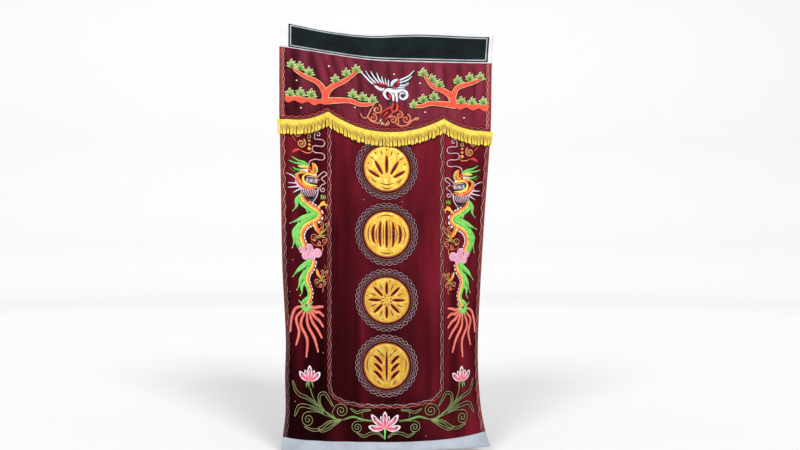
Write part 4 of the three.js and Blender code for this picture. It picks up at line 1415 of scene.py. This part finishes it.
def build_crane(e):
    """The crane: spread wings with dark gaps between the feathers, and a curled tail."""
    left_tips = [(-112, 49), (-87, 47), (-64, 46), (-40, 51), (-18, 64), (-2, 70), (12, 77)]
    left_bases = [(-52, 99), (-42, 95), (-29, 94), (-17, 95), (-7, 98), (4, 102), (13, 109)]
    for tip, base in zip(left_tips, left_bases):
        middle = (0.5 * (tip[0] + base[0]) - 2, 0.5 * (tip[1] + base[1]) + 3)
        gap = [(base[0] + 5, base[1]), (middle[0] + 5, middle[1]), (tip[0] + 8, tip[1] + 7)]
        e.stroke(INK, gap, 3.8, "feather")
        e.stroke(WHITE, [base, middle, tip], 3.6, "feather", lift=0.4)
    e.stroke(WHITE, [(-52, 100), (-72, 86), (-92, 68), (-108, 54)], 5.0, "taper", lift=0.5)
    e.stroke(SCARLET, [(-54, 102), (-38, 96), (-18, 98), (4, 102), (12, 112)], 2.6, lift=1.2)
    e.stroke(WHITE, [(-50, 105), (-34, 115), (-18, 122), (-6, 114)], 6.4, "leaf", lift=0.6)
    e.stroke(STEEL, [(-40, 109), (-26, 114), (-14, 114)], 1.8, "leaf", lift=1.9)
    right_tips = [(119, 36), (110, 60), (96, 88), (82, 103)]
    right_bases = [(56, 80), (56, 90), (56, 101), (50, 109)]
    for tip, base in zip(right_tips, right_bases):
        middle = (0.5 * (tip[0] + base[0]) + 4, 0.5 * (tip[1] + base[1]) + 4)
        gap = moved((base, middle, tip), 1, 7)
        e.stroke(STEEL if tip[1] > 80 else INK, gap, 3.8, "feather", lift=0.1)
        e.stroke(WHITE, [base, middle, tip], 3.6, "feather", lift=0.4)
    e.stroke(WHITE, [(22, 108), (30, 90), (50, 74)], 8.0, "leaf", lift=0.4)
    e.stroke(STEEL, [(26, 106), (36, 92), (48, 82)], 1.8, "leaf", lift=1.8)
    e.stroke(SCARLET, [(52, 76), (51, 88), (48, 99)], 3.4, "leaf", lift=0.9)
    e.stroke(SCARLET, [(28, 103), (34, 113), (44, 117)], 4.2, "leaf", lift=0.9)
    e.stroke(STEEL, [(16, 119), (48, 114), (84, 114)], 4.8, "leaf", lift=0.2)
    e.stroke(WHITE, [(-12, 130), (8, 122), (40, 126), (74, 118)], 9.0, "leaf", lift=0.5)
    e.stroke(WHITE, [(0, 122), (-8, 138), (0, 153), (14, 163)], 6.8, "taper", lift=0.6)
    e.stroke(WHITE, [(14, 128), (27, 138), (31, 154), (31, 170)], 6.2, "feather", lift=0.6)
    e.stroke(WHITE, [(38, 128), (45, 148), (45, 173)], 6.4, "feather", lift=0.6)
    for crease in ([(20, 132), (35, 142), (38, 166)], [(2, 132), (1, 144), (8, 156)],
                   [(8, 120), (34, 119), (60, 121)], [(50, 130), (56, 140), (54, 152)]):
        e.stroke(STEEL, crease, 1.6, "leaf", lift=1.9)
    e.stroke(SCARLET, [(11, 139), (19, 149), (17, 160)], 3.8, "leaf", lift=0.5)
    tail = (70, 143)
    for radius, material, half, lift in ((24, WHITE, 6.2, 0.5), (17, STEEL, 2.0, 1.7)):
        path = spiral(tail, radius, 1.25, -40, 1, 0.3)
        e.strip(material, path, np.linspace(half, half * 0.5, len(path)), 1.2, lift=lift)
    e.bead(INK, (tail[0] - 2, tail[1] + 1), 3.6, lift=1.0)
    e.stroke(INK, [(6, 168), (14, 178), (21, 192)], 2.6, "leaf")
    e.stroke(DARK_GREEN, [(24, 168), (17, 182), (11, 192)], 2.4, "leaf")
    flames = [
        [(30, 174), (26, 190), (4, 202), (-14, 216), (-26, 234)],
        [(46, 176), (46, 200), (24, 222), (6, 238), (-6, 258)],
        [(34, 178), (24, 202), (30, 214), (14, 230)],
        [(50, 186), (46, 206), (30, 216), (20, 228)],
        [(6, 214), (-4, 226), (-12, 232)],
    ]
    for flame in flames:
        e.layers(flame, (SCARLET, 5.0, "taper", 0.3), (RUST, 1.5, "taper", 1.7, -2, 2))


def build_cloud_scroll(e):
    """The orange cloud below the crane: running stems, each ending in a curl."""
    stems = [
        [(-108, 230), (-94, 247), (-80, 244), (-70, 224), (-60, 204), (-50, 192)],
        [(-78, 240), (-64, 256), (-46, 262), (-24, 265)],
        [(-14, 266), (0, 272), (12, 262)],
        [(40, 262), (58, 272), (80, 272), (98, 262), (112, 248), (134, 240)],
        [(48, 236), (53, 254), (50, 268)],
    ]
    for stem in stems:
        e.layers(stem, (RUST, 4.0, "round", 0.0), (TAN, 1.0, "round", 0.8, 0, -3.5))
    curls = [(-37, 206, 21, 20), (-54, 244, 18, 0), (30, 248, 18, -60), (56, 226, 16, 0),
             (84, 242, 21, 20), (128, 238, 8, 60), (6, 262, 8, 0)]
    for x, y, radius, start in curls:
        e.curl(RUST, (x, y), radius, 4.4, 1.5, start)
        e.curl(TAN, (x, y), radius + 3.6, 1.0, 1.1, start, lift=0.7)
    for x, y in ((-22, 252), (-48, 208), (-16, 264)):
        e.stroke(FAN_TIP, [(x + 3, y - 8), (x, y), (x - 4, y + 7)], 2.8, "leaf", lift=0.8)


# The dragon is drawn about its head, heading down the left border; the right one mirrors it.
DRAGON = (-335, 505)
UPPER_SPINE = [
    (-29, 92), (-14, 116), (18, 134), (44, 148), (53, 164), (42, 181), (14, 197), (-11, 215),
    (-26, 240), (-28, 266), (-12, 306),
]
LOWER_SPINE = [
    (26, 350), (20, 380), (3, 407), (-4, 435), (5, 462), (13, 492), (4, 521), (-11, 546),
]


def dragon_body(e, spine, start, end):
    """Bands side by side along the spine, ticked like scales; belly plates show as dashes."""
    path = curve(spine, 3.5)
    run = run_of(path)
    size = start + (end - start) * run / run[-1]
    bands = [
        (BRIGHT_GREEN, 14.0, 6.8, 0.3), (DARK_GREEN, 7.6, 1.0, 0.9), (YELLOW, 1.6, 5.6, 0.5),
        (ORANGE, -6.0, 4.4, 0.8), (SCARLET, -11.4, 2.2, 0.9),
    ]
    for material, offset, half, lift in bands:
        e.strip(material, path, half * size, 1.3, offset=offset * size, lift=lift)
    along, aside = directions_of(path)
    for k in range(2, len(path) - 1, 3):
        tick = [path[k] + aside[k] * reach * size[k] for reach in (6, 1, -3)]
        e.stroke(OLIVE, [tick[0], tick[1] + along[k] * 2, tick[2]], 0.7, lift=1.7)
    for k in range(1, len(path) - 4, 4):
        part = slice(k, k + 4)
        plate = np.array([1.6, 3.2, 3.2, 1.6]) * size[part]
        e.strip(WHITE, path[part], plate, 1.2, offset=-16.8 * size[part], lift=0.2)


def meander(start, swing, climb, turns):
    """A line that snakes upwards in flattened loops; turns counts the half loops."""
    s = np.linspace(0.25, turns, round(7 * turns)) * math.pi
    overlap = 0.2 * climb * np.sin(2 * s)
    return np.column_stack([
        start[0] - swing * np.cos(s), start[1] - climb * s / math.pi - overlap,
    ])


def dragon_head(e):
    """Whiskers, beard and horns, then the face over them: cheek, brow, eye, lips and teeth."""
    long_whisker = np.vstack([
        [(9, -40), (14, -54)], meander((50, -50), 27, 28, 3.7),
        spiral((48, -168), 15, 1.2, -110, 1),
    ])
    lower_whisker = np.vstack([
        [(46, 8), (58, -4), (72, -16), (84, -13), (83, -3), (69, 6), (63, 14), (73, 22),
         (80, 30), (68, 37), (58, 46)], spiral((69, 57), 12.5, 1.2, -80, -1),
    ])
    e.stroke(MAUVE, long_whisker, 2.3)
    e.stroke(MAUVE, lower_whisker, 2.3)
    side_strands = [
        ((-44, 28), (-62, 16), (-90, 8)), ((-38, 44), (-60, 46), (-84, 48)),
        ((-34, 56), (-58, 62), (-86, 68)), ((-24, 64), (-42, 74), (-60, 86)),
    ]
    for strand in side_strands:
        e.stroke(BEARD, strand, 3.6, "taper", lift=0.4)
    e.stroke(BEARD, [(-42, 16), (-47, 34), (-34, 56), (-12, 67)], 4.6, "leaf", lift=0.2)
    # Painted shadow: a dark stroke under the beard.
    e.stroke(INK, [(-18, 66), (-12, 84), (-4, 102), (20, 108), (40, 88)], 7.0, "leaf")
    for k in range(9):
        x = -20 + 7.5 * k
        e.stroke(BEARD, [(x, 60), (x - 5, 80), (x - 14, 99 - 0.8 * k)], 2.0, "taper", lift=0.6)
    e.stroke(BEARD, [(49, 50), (43, 86), (16, 126)], 2.8, "taper", lift=0.7)
    horns = [
        [(12, -31), (-12, -45), (-38, -50), (-66, -63)],
        [(10, -30), (-20, -37), (-48, -38), (-78, -45)],
        [(8, -12), (-22, -12), (-44, -12), (-61, -20)],
        [(6, -10), (-22, -4), (-38, 3), (-54, 13)],
    ]
    for horn in horns:
        e.layers(horn, (DARK_GREEN, 5.6, "taper", 0.0, 0, 3), (BRIGHT_GREEN, 5.6, "taper", 0.4),
                 (LEAF_GREEN, 1.4, "taper", 1.8))
    e.stroke(OLIVE, [(-48, -3), (-62, -6), (-76, -17)], 2.4, "taper")
    cheek = [(-26, -6), (-42, 12), (-34, 34), (-14, 48), (12, 56), (46, 50)]
    e.layers(cheek, (SCARLET, 10.0, "leaf", 0.0, -4, 3), (ORANGE, 9.5, "leaf", 0.5))
    e.stroke(ORANGE, [(-40, 4), (-8, -8), (18, -8), (44, 6)], 10.5, "leaf", lift=0.3)
    e.stroke(ORANGE, [(22, -50), (29, -36), (30, -20), (25, -4)], 7.8, "leaf", lift=0.6)
    e.stroke(YELLOW, [(30, -48), (40, -34), (43, -18), (36, -2)], 5.0, "leaf", lift=1.0)
    e.stroke(LEAF_GREEN, [(35, -40), (42, -24), (42, -8)], 3.2, "leaf", lift=1.8)
    e.stroke(DARK_GREEN, [(33, -30), (36, -20), (34, -10)], 1.2, "leaf", lift=2.2)
    e.stroke(WHITE, [(30, -4), (36, 1), (44, -2)], 3.4, "leaf", lift=1.8)
    e.stroke(SCARLET, [(2, -23), (13, -27), (22, -22)], 3.0, "leaf", lift=1.6)
    e.stroke(YELLOW, [(12, -25), (-12, -29), (-38, -24)], 6.4, "leaf", lift=0.8)
    e.stroke(LEAF_GREEN, [(-14, -31), (-27, -31), (-40, -24)], 3.0, "leaf", lift=1.9)
    e.stroke(ORANGE, [(12, -22), (-8, -23), (-28, -20)], 2.6, "leaf", lift=1.8)
    e.stroke(WHITE, [(-30, -9), (-12, -14), (8, -13)], 3.4, "leaf", lift=1.2)
    e.bead(WHITE, (0, -12), 5.8, lift=1.6)
    e.bead(INK, (9, -12), 4.8, lift=3.4)
    for x, y in ((-30, 6), (-34, 20), (-22, 38), (2, 50), (26, 52)):
        e.bead(SCARLET, (x, y), 3.2, lift=1.8)
    e.stroke(INK, [(-12, 20), (14, 27), (52, 26)], 14.0, "leaf", lift=0.9)
    e.stroke(YELLOW, [(0, 2), (-16, 14), (-12, 34), (12, 45), (46, 44)], 5.4, "leaf", lift=1.5)
    e.stroke(YELLOW, [(-14, 8), (8, 1), (32, 4), (48, 10)], 4.4, "leaf", lift=1.5)
    e.stroke(MAUVE, [(-6, 16), (14, 10), (36, 13), (54, 20)], 2.2, "leaf", lift=2.2)
    e.stroke(TAIL_CORAL, [(26, 24), (42, 20), (60, 20)], 3.2, "leaf", lift=2.0)
    for k in range(7):
        x = -3 + 7 * k
        material = (WHITE, STEEL, LILAC)[k % 3]
        e.stroke(material, [(x, 34), (x + 3, 25), (x + 5, 17)], 2.3, "leaf", lift=2.4)
        e.stroke(STEEL, [(x + 3, 36), (x + 6, 31), (x + 8, 27)], 1.8, "leaf", lift=2.2)


def dragon_fins(e):
    """Green flames that curl off the body, each with its half width."""
    fins = [
        ([(-20, 92), (-42, 112), (-46, 140), (-62, 160)], 13),
        ([(-12, 112), (-2, 138), (4, 160), (14, 178)], 10),
        ([(34, 166), (-2, 178), (-40, 196), (-74, 212)], 16),
        ([(-26, 212), (-54, 244), (-56, 282), (-66, 312)], 15),
        ([(-24, 244), (-44, 276), (-42, 302), (-30, 326)], 10),
        ([(14, 356), (-14, 378), (-42, 402), (-66, 430)], 14),
        ([(-6, 402), (-26, 430), (-36, 458), (-48, 482)], 12),
        ([(-8, 444), (-26, 466), (-26, 488), (-34, 504)], 9),
        ([(-2, 512), (-22, 528), (-32, 552)], 9),
    ]
    for points, half in fins:
        e.layers(points, (DARK_GREEN, half * 1.08, "horn", 0.0, 1.5, 2),
                 (BRIGHT_GREEN, half, "horn", 0.3), (LEAF_GREEN, half * 0.16, "leaf", 1.9))
        e.bead(FAN_TIP, points[-1], 2.6, lift=0.2)


def claw_scroll(e, x, y, size):
    """A clawed leg over a cluster of curls and small flames, size 1 for the largest."""
    def at(points):
        return [(x + size * a, y + size * b) for a, b in points]

    e.stroke(ORANGE, at([(-14, -54), (-10, -34), (0, -12), (10, 4)]), 9 * size, "broad", 0.4)
    e.stroke(YELLOW, at([(-18, -50), (-14, -28), (-4, -6)]), 3.6 * size, "leaf", lift=1.6)
    e.stroke(SCARLET, at([(-4, -44), (2, -26), (8, -12)]), 2.4 * size, "leaf", lift=1.8)
    for toe in ([(4, -12), (14, -18), (22, -30)], [(8, -6), (22, -6), (34, -16)],
                [(8, 0), (18, 10), (30, 12)]):
        e.layers(at(toe), (ORANGE, 3.4 * size, "taper", 0.6), (SCARLET, 1.1 * size, "taper", 1.6))
    for points in ([(-12, 24), (10, 10), (34, -12), (50, -34)],
                   [(-2, 26), (22, 12), (44, 4)], [(10, 18), (22, -8), (30, -30)]):
        e.layers(at(points), (DARK_GREEN, 3.0 * size, "leaf", 0.9), (OLIVE, 1.9 * size, "leaf", 1.7))
        e.stroke(YELLOW, at(moved(points, -1, -1)), 0.7 * size, "leaf", 2.4)
    curls = [(-16, 22, 17, 100, -1), (30, 30, 15, -40, 1), (18, -38, 12, 160, -1),
             (42, -38, 11, 20, 1), (6, 44, 10, 0, 1)]
    for a, b, radius, start, side in curls:
        place = at([(a, b)])[0]
        e.curl(RUST, place, radius * size, 2.0, 1.6, start, side)
        e.curl(TAN, place, radius * size + 2.2, 0.9, 1.2, start, side, lift=0.6)
    for points, material in (
        ([(-30, 24), (-22, 44), (0, 54), (28, 48), (42, 30), (44, 14)], RUST),
        ([(22, 50), (24, 64), (18, 84)], APRICOT), ([(28, -48), (38, -64), (32, -82)], RUST),
        ([(36, -22), (48, -12), (44, 8)], SCARLET), ([(-26, 30), (-10, 34), (-4, 24)], APRICOT),
    ):
        e.stroke(material, at(points), 2.2 * size, "leaf", lift=0.2)


def dragon_legs(e):
    """The raised foreleg, the tassel by it, and two clawed legs over their scrolls."""
    for points in ([(42, 140), (58, 124), (74, 112), (82, 122), (84, 138)],
                   [(60, 124), (76, 118), (94, 122)], [(58, 122), (66, 112), (80, 104)]):
        e.layers(points, (ORANGE, 5.5, "taper", 0.3), (YELLOW, 2.0, "taper", 1.6))
    for k in range(3):
        x = 60 + 8 * k
        e.stroke(OLIVE, [(x, 76), (x + 1, 88), (x - 1, 100)], 2.4, "leaf")
        e.stroke(YELLOW, [(x + 3, 78), (x + 4, 89), (x + 2, 99)], 0.9, "leaf")
    claw_scroll(e, 44, 238, 1.0)
    claw_scroll(e, 52, 424, 0.72)


def dragon_cloud(e):
    """The pink cloud that hides the dragon's middle: round puffs, each with a curl on it."""
    puffs = [(14, 320, 19), (10, 302, 15), (-21, 315, 15), (-8, 338, 16), (22, 339, 15),
             (46, 321, 19)]
    for order, (x, y, radius) in enumerate(puffs):
        lift = 1.6 + 0.2 * order
        e.bead(DEEP_PINK, (x, y), radius + 0.8, lift, crown=0.6)
        e.bead(LILAC, (x, y), radius, lift + 0.3, crown=1.2)
    for x, y, radius in puffs:
        e.curl(PINK, (x, y), radius * 0.72, 2.2, 1.3, 40 * x, lift=3.6)
        e.curl(WHITE, (x, y), radius * 0.86, 0.8, 0.6, 40 * x + 60, lift=3.4)


def flame_scroll(e):
    """The orange scroll between the fringe and the dragon's horns."""
    for x, y, radius, start in ((-41, -160, 18, 0), (-23, -122, 21, 30)):
        e.curl(APRICOT, (x, y), radius, 3.6, 1.6, start)
        e.curl(RUST, (x, y), radius + 3.4, 1.4, 1.1, start, lift=0.5)
        e.curl(OLIVE, (x, y), radius - 4.4, 1.1, 0.9, start, lift=0.5)
    e.stroke(SCARLET, [(-62, -78), (-53, -86), (-40, -93), (-24, -94)], 5.6, "leaf", 0.6)
    e.stroke(RUST, [(-34, -98), (-14, -88), (6, -85), (20, -92), (26, -104)], 3.2, "leaf")
    e.stroke(APRICOT, [(-22, -91), (-4, -86), (12, -88), (22, -97)], 1.6, "leaf", lift=0.8)
    e.stroke(RUST, [(-66, -172), (-62, -150), (-52, -134), (-40, -122)], 2.8, "leaf")
    for k in range(5):
        e.strip(TAN if k % 2 else OLIVE, circle((9 + 2 * (k % 2), -188 + 11 * k), 6), 1.4, 0.8)
    for y, radius in ((-136, 5.5), (-121, 6.5), (-104, 8.5)):
        e.bead(ORANGE, (11, y), radius, lift=-1.0)
        e.bead(TAN, (9, y - 1), radius * 0.5, lift=1.4)


def dragon_tail(e):
    """Eight thick coral plumes that wave out below the tail, under a spiky green tuft."""
    plumes = [
        [(-18, 545), (-58, 560), (-80, 604), (-89, 662)],
        [(-22, 560), (-56, 600), (-44, 655), (-60, 712)],
        [(-16, 568), (-34, 622), (-6, 682), (-10, 756)],
        [(-6, 568), (-2, 622), (28, 676), (46, 732)],
        [(2, 560), (18, 606), (44, 640), (64, 673)],
        [(6, 556), (32, 588), (50, 600), (70, 626)],
        [(8, 550), (32, 566), (52, 566), (72, 582)],
        [(6, 540), (28, 549), (48, 544), (71, 541)],
    ]
    for points in plumes:
        path = curve(points, 4.0)
        t = run_of(path) / run_of(path)[-1]
        half = 3.6 + 3.8 * np.sin(math.pi * np.minimum(1, t / 0.75 * 0.62 + 0.1))
        half = half * np.sqrt(np.clip((1.02 - t) / 0.06, 0, 1))
        e.strip(TAIL_CORAL, path, half, 1.6)
        e.strip(PALE_CORAL, path, half * 0.24, 0.5, lift=1.5)
        e.bead(PALE_CORAL, path[-2], 3.4, lift=0.6)
    root = (-9, 546)
    for k in range(13):
        lean = math.radians(-96 + 16 * k)
        reach = 30 if k % 2 else 21
        tip = (root[0] + reach * math.sin(lean), root[1] + reach * math.cos(lean))
        bend = ((root[0] + tip[0]) / 2 + 1, (root[1] + tip[1]) / 2)
        material = BRIGHT_GREEN if k % 2 else LEAF_GREEN
        e.stroke(DARK_GREEN, [root, bend, (tip[0] + 1, tip[1] + 2)], 4.0, "leaf", lift=1.6)
        e.stroke(material, [root, bend, tip], 3.4, "leaf", lift=2.2)
    for side in (-1, 1):
        e.stroke(LEAF_GREEN, [(-9, 548), (-9 + side * 16, 538), (-9 + side * 34, 522)], 3.4,
                 "leaf", lift=1.8)
    e.bead(INK, (-8, 541), 4.5, lift=3.0)


def build_dragons(e):
    e.mirrored = True
    e.origin = np.array(DRAGON, float)
    flame_scroll(e)
    dragon_tail(e)
    dragon_fins(e)
    dragon_body(e, UPPER_SPINE, 1.0, 1.0)
    dragon_body(e, LOWER_SPINE, 0.88, 0.55)
    dragon_legs(e)
    dragon_head(e)
    dragon_cloud(e)
    e.origin = np.zeros(2)
    e.mirrored = False


def side_of(out):
    return np.array((-out[1], out[0]))


def lotus(e, base, petals):
    """White-edged pink petals; each is a lean in degrees, a length and a half width."""
    x, y = base
    for order, (lean, length, half) in enumerate(petals):
        turn = math.radians(lean)
        out = np.array((math.sin(turn), -math.cos(turn)))
        side = side_of(out) * (0.1 * length * math.sin(turn))
        start = np.array((x, y), float)
        bend = start + out * length * 0.5 + (side if out[1] < 0.2 else 0)
        tip = start + out * length
        lift = 0.35 * order
        e.stroke(DISC_VEIN, [start, bend, tip], half + 1.8, "broad", lift=lift, crown=0.5)
        e.stroke(PETAL_EDGE, [start, bend, tip], half, "broad", lift=lift + 0.1, crown=1.3)
        slit = [start + out * length * 0.3, bend, start + out * length * 0.88]
        e.stroke(DISC_VEIN, slit, half * 0.6, "leaf", lift=lift + 1.1, crown=0.6)
        inner = [start, bend - out * length * 0.03, start + out * length * 0.78]
        e.stroke(PALE_PINK, inner, half * 0.74, "broad", lift=lift + 0.8, crown=1.0)
        low = [start, bend - out * length * 0.05, start + out * length * 0.74]
        e.stroke(PINK, low, half * 0.56, "broad", lift=lift + 1.3, crown=0.8)
        for drift in (-0.26, 0.26):
            vein = [start + out * length * 0.12, bend + side_of(out) * half * drift,
                    start + out * length * 0.62]
            e.stroke(DEEP_PINK, vein, half * 0.12, "leaf", lift=lift + 2.0, crown=0.4)


def double_line(e, points, gap=6.0):
    """Two parallel lines that close to a round tip, green between them near the stem."""
    path = curve(points, 3.0)
    t = run_of(path) / run_of(path)[-1]
    open_half = gap * np.sin(math.pi * np.clip(0.06 + 0.9 * t, 0, 1)) ** 0.5
    for side in (-1, 1):
        e.strip(VINE_LINE, path, 1.7, 1.1, offset=side * open_half)
        e.strip(VINE_SHINE, path, 0.6, 0.5, offset=side * open_half, lift=0.9)
    near_stem = path[: max(4, round(len(path) * 0.45))]
    shares = width_shares(near_stem, gap, "leaf")
    e.strip(DARK_GREEN, near_stem, gap * 0.5 * shares, 0.6)


def build_vine(e):
    """The lotus vine along the foot, its left half worked and then mirrored."""
    e.mirrored = True
    stem = [(-52, 1510), (-92, 1508), (-130, 1498), (-186, 1510), (-224, 1501), (-256, 1479),
            (-290, 1458), (-314, 1421), (-327, 1384)]
    e.stroke(VINE_LINE, stem, 2.6)
    for points, half in (
        ([(-56, 1510), (-96, 1507), (-138, 1497), (-182, 1509)], 4.6),
        ([(-178, 1510), (-214, 1506), (-246, 1486), (-270, 1468)], 4.2),
        ([(-190, 1508), (-204, 1514), (-222, 1518)], 3.4),
    ):
        e.stroke(STEM_GREEN, points, half, "leaf", lift=0.6)
    for points, gap in (
        ([(-292, 1456), (-338, 1428), (-388, 1408), (-410, 1362)], 6.5),
        ([(-262, 1484), (-316, 1466), (-376, 1462), (-402, 1508)], 7.0),
        ([(-262, 1476), (-284, 1446), (-282, 1412), (-258, 1404), (-240, 1428), (-222, 1456)], 5.5),
        ([(-190, 1512), (-240, 1522), (-270, 1544), (-304, 1558), (-352, 1546)], 5.5),
        ([(-192, 1514), (-222, 1534), (-248, 1552), (-274, 1560), (-290, 1548)], 4.5),
        ([(-64, 1466), (-98, 1470), (-122, 1478), (-150, 1463)], 4.5),
        ([(-8, 1582), (-34, 1563), (-66, 1565), (-94, 1576), (-122, 1562)], 5.0),
    ):
        double_line(e, points, gap)
    for lead, x, y, radius, start, side in (
        ([(-236, 1500), (-288, 1484), (-326, 1482)], -336, 1516, 34, 16, -1),
        ([(-214, 1502), (-226, 1484), (-218, 1462)], -188, 1472, 32, -80, 1),
        ([(-56, 1516), (-86, 1512), (-112, 1514)], -120, 1540, 27, 14, -1),
    ):
        e.stroke(VINE_LINE, lead, 1.8)
        path = spiral((x, y), radius, 2.1, start, side, 0.08)
        e.strip(VINE_LINE, path, 1.8, 1.0, lift=0.2)
        e.strip(VINE_SHINE, path, 0.6, 0.5, lift=1.1)
    e.stroke(VINE_LINE, [(-97, 1470), (-100, 1488), (-96, 1500)], 1.4)
    e.mirrored = False
    e.stroke(BRIGHT_GREEN, [(-4, 1540), (-4, 1562), (-5, 1590)], 4.8, "feather")
    for x, y, turned in ((-329, 1356, 1), (338, 1360, -1)):
        for bend, half in ((-12, 4.4), (-3, 4.0), (12, 4.2)):
            tip = (x + turned * bend * 1.3, y + 32 - 0.4 * abs(bend))
            sepal = [(x, y - 6), (x + turned * bend, y + 8), tip]
            e.layers(sepal, (DARK_GREEN, half, "leaf", 0.0, 1, 1),
                     (STEM_GREEN, half * 0.8, "leaf", 0.7))
        lotus(e, (x, y), [
            (-26, 50, 8), (26, 50, 8), (-52, 60, 12), (52, 62, 12.5), (0, 64, 11),
        ])
    lotus(e, (-4, 1540), [
        (-20, 52, 7), (20, 52, 7), (-86, 70, 13), (86, 66, 13), (-46, 80, 11.5), (46, 78, 11.5),
        (0, 68, 10.5),
    ])


CREAM_SEQUINS = [
    (-240, 51), (-375, 130), (-130, 206), (-358, 240), (34, 55), (164, 212), (143, 90), (330, 236),
]
DULL_SEQUINS = [(67, 589), (-399, 866), (-417, 999), (-267, 1236), (-399, 1447), (168, 1579)]


def build_embroidery():
    top = Embroidery("valance", "valance", "valance_velvet", VALANCE_SHADE_HALOS)
    build_pines(top)
    build_crane(top)
    build_cloud_scroll(top)
    for place in CREAM_SEQUINS:
        top.bead(SEQUIN_CREAM, place, 3.4)
    field = Embroidery("panel", "panel", "panel_velvet", PANEL_SHADE_HALOS)
    build_dragons(field)
    build_vine(field)
    for place in DULL_SEQUINS:
        field.bead(SEQUIN_DULL, place, 2.4)
    field.bead(SEQUIN_GREEN, (-93, 587), 3.0)
    return top.build() + [VALANCE_SHADE_HALOS.build()], field.build() + [PANEL_SHADE_HALOS.build()]


# ---------------------------------------------------------------- stage, light and camera


# Metres; the paper's tones by its rise up the curve and by its distance out.
SWEEP = {
    "hub": 0.5, "flat": 10.0, "curve": 6.0, "sides": 96, "below": 0.004,
    "rise": [(0.0, 0.99), (0.03, 0.934), (0.11, 0.836), (0.39, 0.762), (0.83, 0.789)],
    "far": [(0.2, 1.0), (0.3, 0.99), (0.5, 0.957), (0.64, 0.866)],
}


def build_stage():
    """A round pale paper sweep: a level floor that curves up into a low wall all round."""
    low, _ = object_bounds()
    paper = Nodes("studio_paper")
    mottle = paper.ramp(paper.noise(paper.place, detail=2.0, scale=3.0), [(0.0, 0.985), (1.0, 1.0)])
    rise = paper.math("MULTIPLY", paper.axes()[1], 1 / SWEEP["curve"])
    out = paper.add("ShaderNodeVectorMath", operation="LENGTH", vector=paper.place)
    far = paper.math("MULTIPLY", out.outputs["Value"], 1 / (SWEEP["flat"] + SWEEP["curve"]))
    shade = paper.multiply(paper.ramp(rise, SWEEP["rise"]), paper.ramp(far, SWEEP["far"]))
    material = paper.finish(paper.multiply(mottle, shade), 0.95, 0.1)
    turn = np.linspace(0, math.pi / 2, 24)
    profile = [(SWEEP["hub"], 0.0)]
    profile += [
        (SWEEP["flat"] + SWEEP["curve"] * math.sin(a), SWEEP["curve"] * (1 - math.cos(a)))
        for a in turn
    ]
    sides = SWEEP["sides"]
    around = np.arange(sides) * 2 * math.pi / sides
    points = [(0.0, 0.0, 0.0)]
    points += [(r * math.cos(a), r * math.sin(a), z) for r, z in profile for a in around]
    faces = [(0, 1 + k, 1 + (k + 1) % sides) for k in range(sides)]
    for first in range(1, 1 + sides * (len(profile) - 1), sides):
        for k in range(sides):
            following = (k + 1) % sides
            outer = first + sides
            faces.append((first + k, outer + k, outer + following, first + following))
    mesh = bpy.data.meshes.new("studio_sweep")
    mesh.from_pydata(points, [], faces)
    mesh.polygons.foreach_set("use_smooth", [True] * len(mesh.polygons))
    mesh.materials.append(material)
    floor = bpy.data.objects.new("studio_sweep", mesh)
    floor.location = (0, 0, low.z - SWEEP["below"])
    bpy.context.scene.collection.objects.link(floor)


def sun(name, azimuth, elevation, strength, angle):
    """Light from azimuth degrees to the right of the camera and elevation degrees up."""
    light = bpy.data.lights.new(name, "SUN")
    light.energy = strength
    light.angle = math.radians(angle)
    lamp = bpy.data.objects.new(name, light)
    a, e = math.radians(azimuth), math.radians(elevation)
    towards = Vector((math.sin(a) * math.cos(e), -math.cos(a) * math.cos(e), math.sin(e)))
    lamp.rotation_euler = towards.to_track_quat("Z", "Y").to_euler()
    bpy.context.scene.collection.objects.link(lamp)


def build_light():
    scene = bpy.context.scene
    scene.view_settings.view_transform = "Standard"
    world = bpy.data.worlds.new("studio")
    world.use_nodes = True
    background = world.node_tree.nodes["Background"]
    background.inputs["Color"].default_value = (1, 1, 1, 1)
    background.inputs["Strength"].default_value = 0.5
    scene.world = world
    sun("key", 22, 30, 1.66, 18)
    sun("fill", -20, 30, 1.31, 18)


CAMERA = {"across": 59, "height": -804, "distance": 4670, "lens": 50}


def build_camera():
    data = bpy.data.cameras.new("camera")
    data.lens = CAMERA["lens"]
    data.sensor_width = 36
    camera = bpy.data.objects.new("camera", data)
    camera.location = (
        CAMERA["across"] * MM, -CAMERA["distance"] * MM, CAMERA["height"] * MM
    )
    camera.rotation_euler = (math.pi / 2, 0, 0)
    bpy.context.scene.collection.objects.link(camera)
    bpy.context.scene.camera = camera


# ---------------------------------------------------------------- the banner

build_camera()
cloths = build_cloths()
panel_trim = build_braids()
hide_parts("side_braid_left", "side_braid_right", "panel_braid")
valance_trim = build_valance_braid()
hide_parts("valance_braid")
fringe = build_fringe()
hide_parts("fringe")
strip_frame = build_strip_frame()
discs = build_discs()
valance_motifs, panel_motifs = build_embroidery()

build_stage()
build_light()
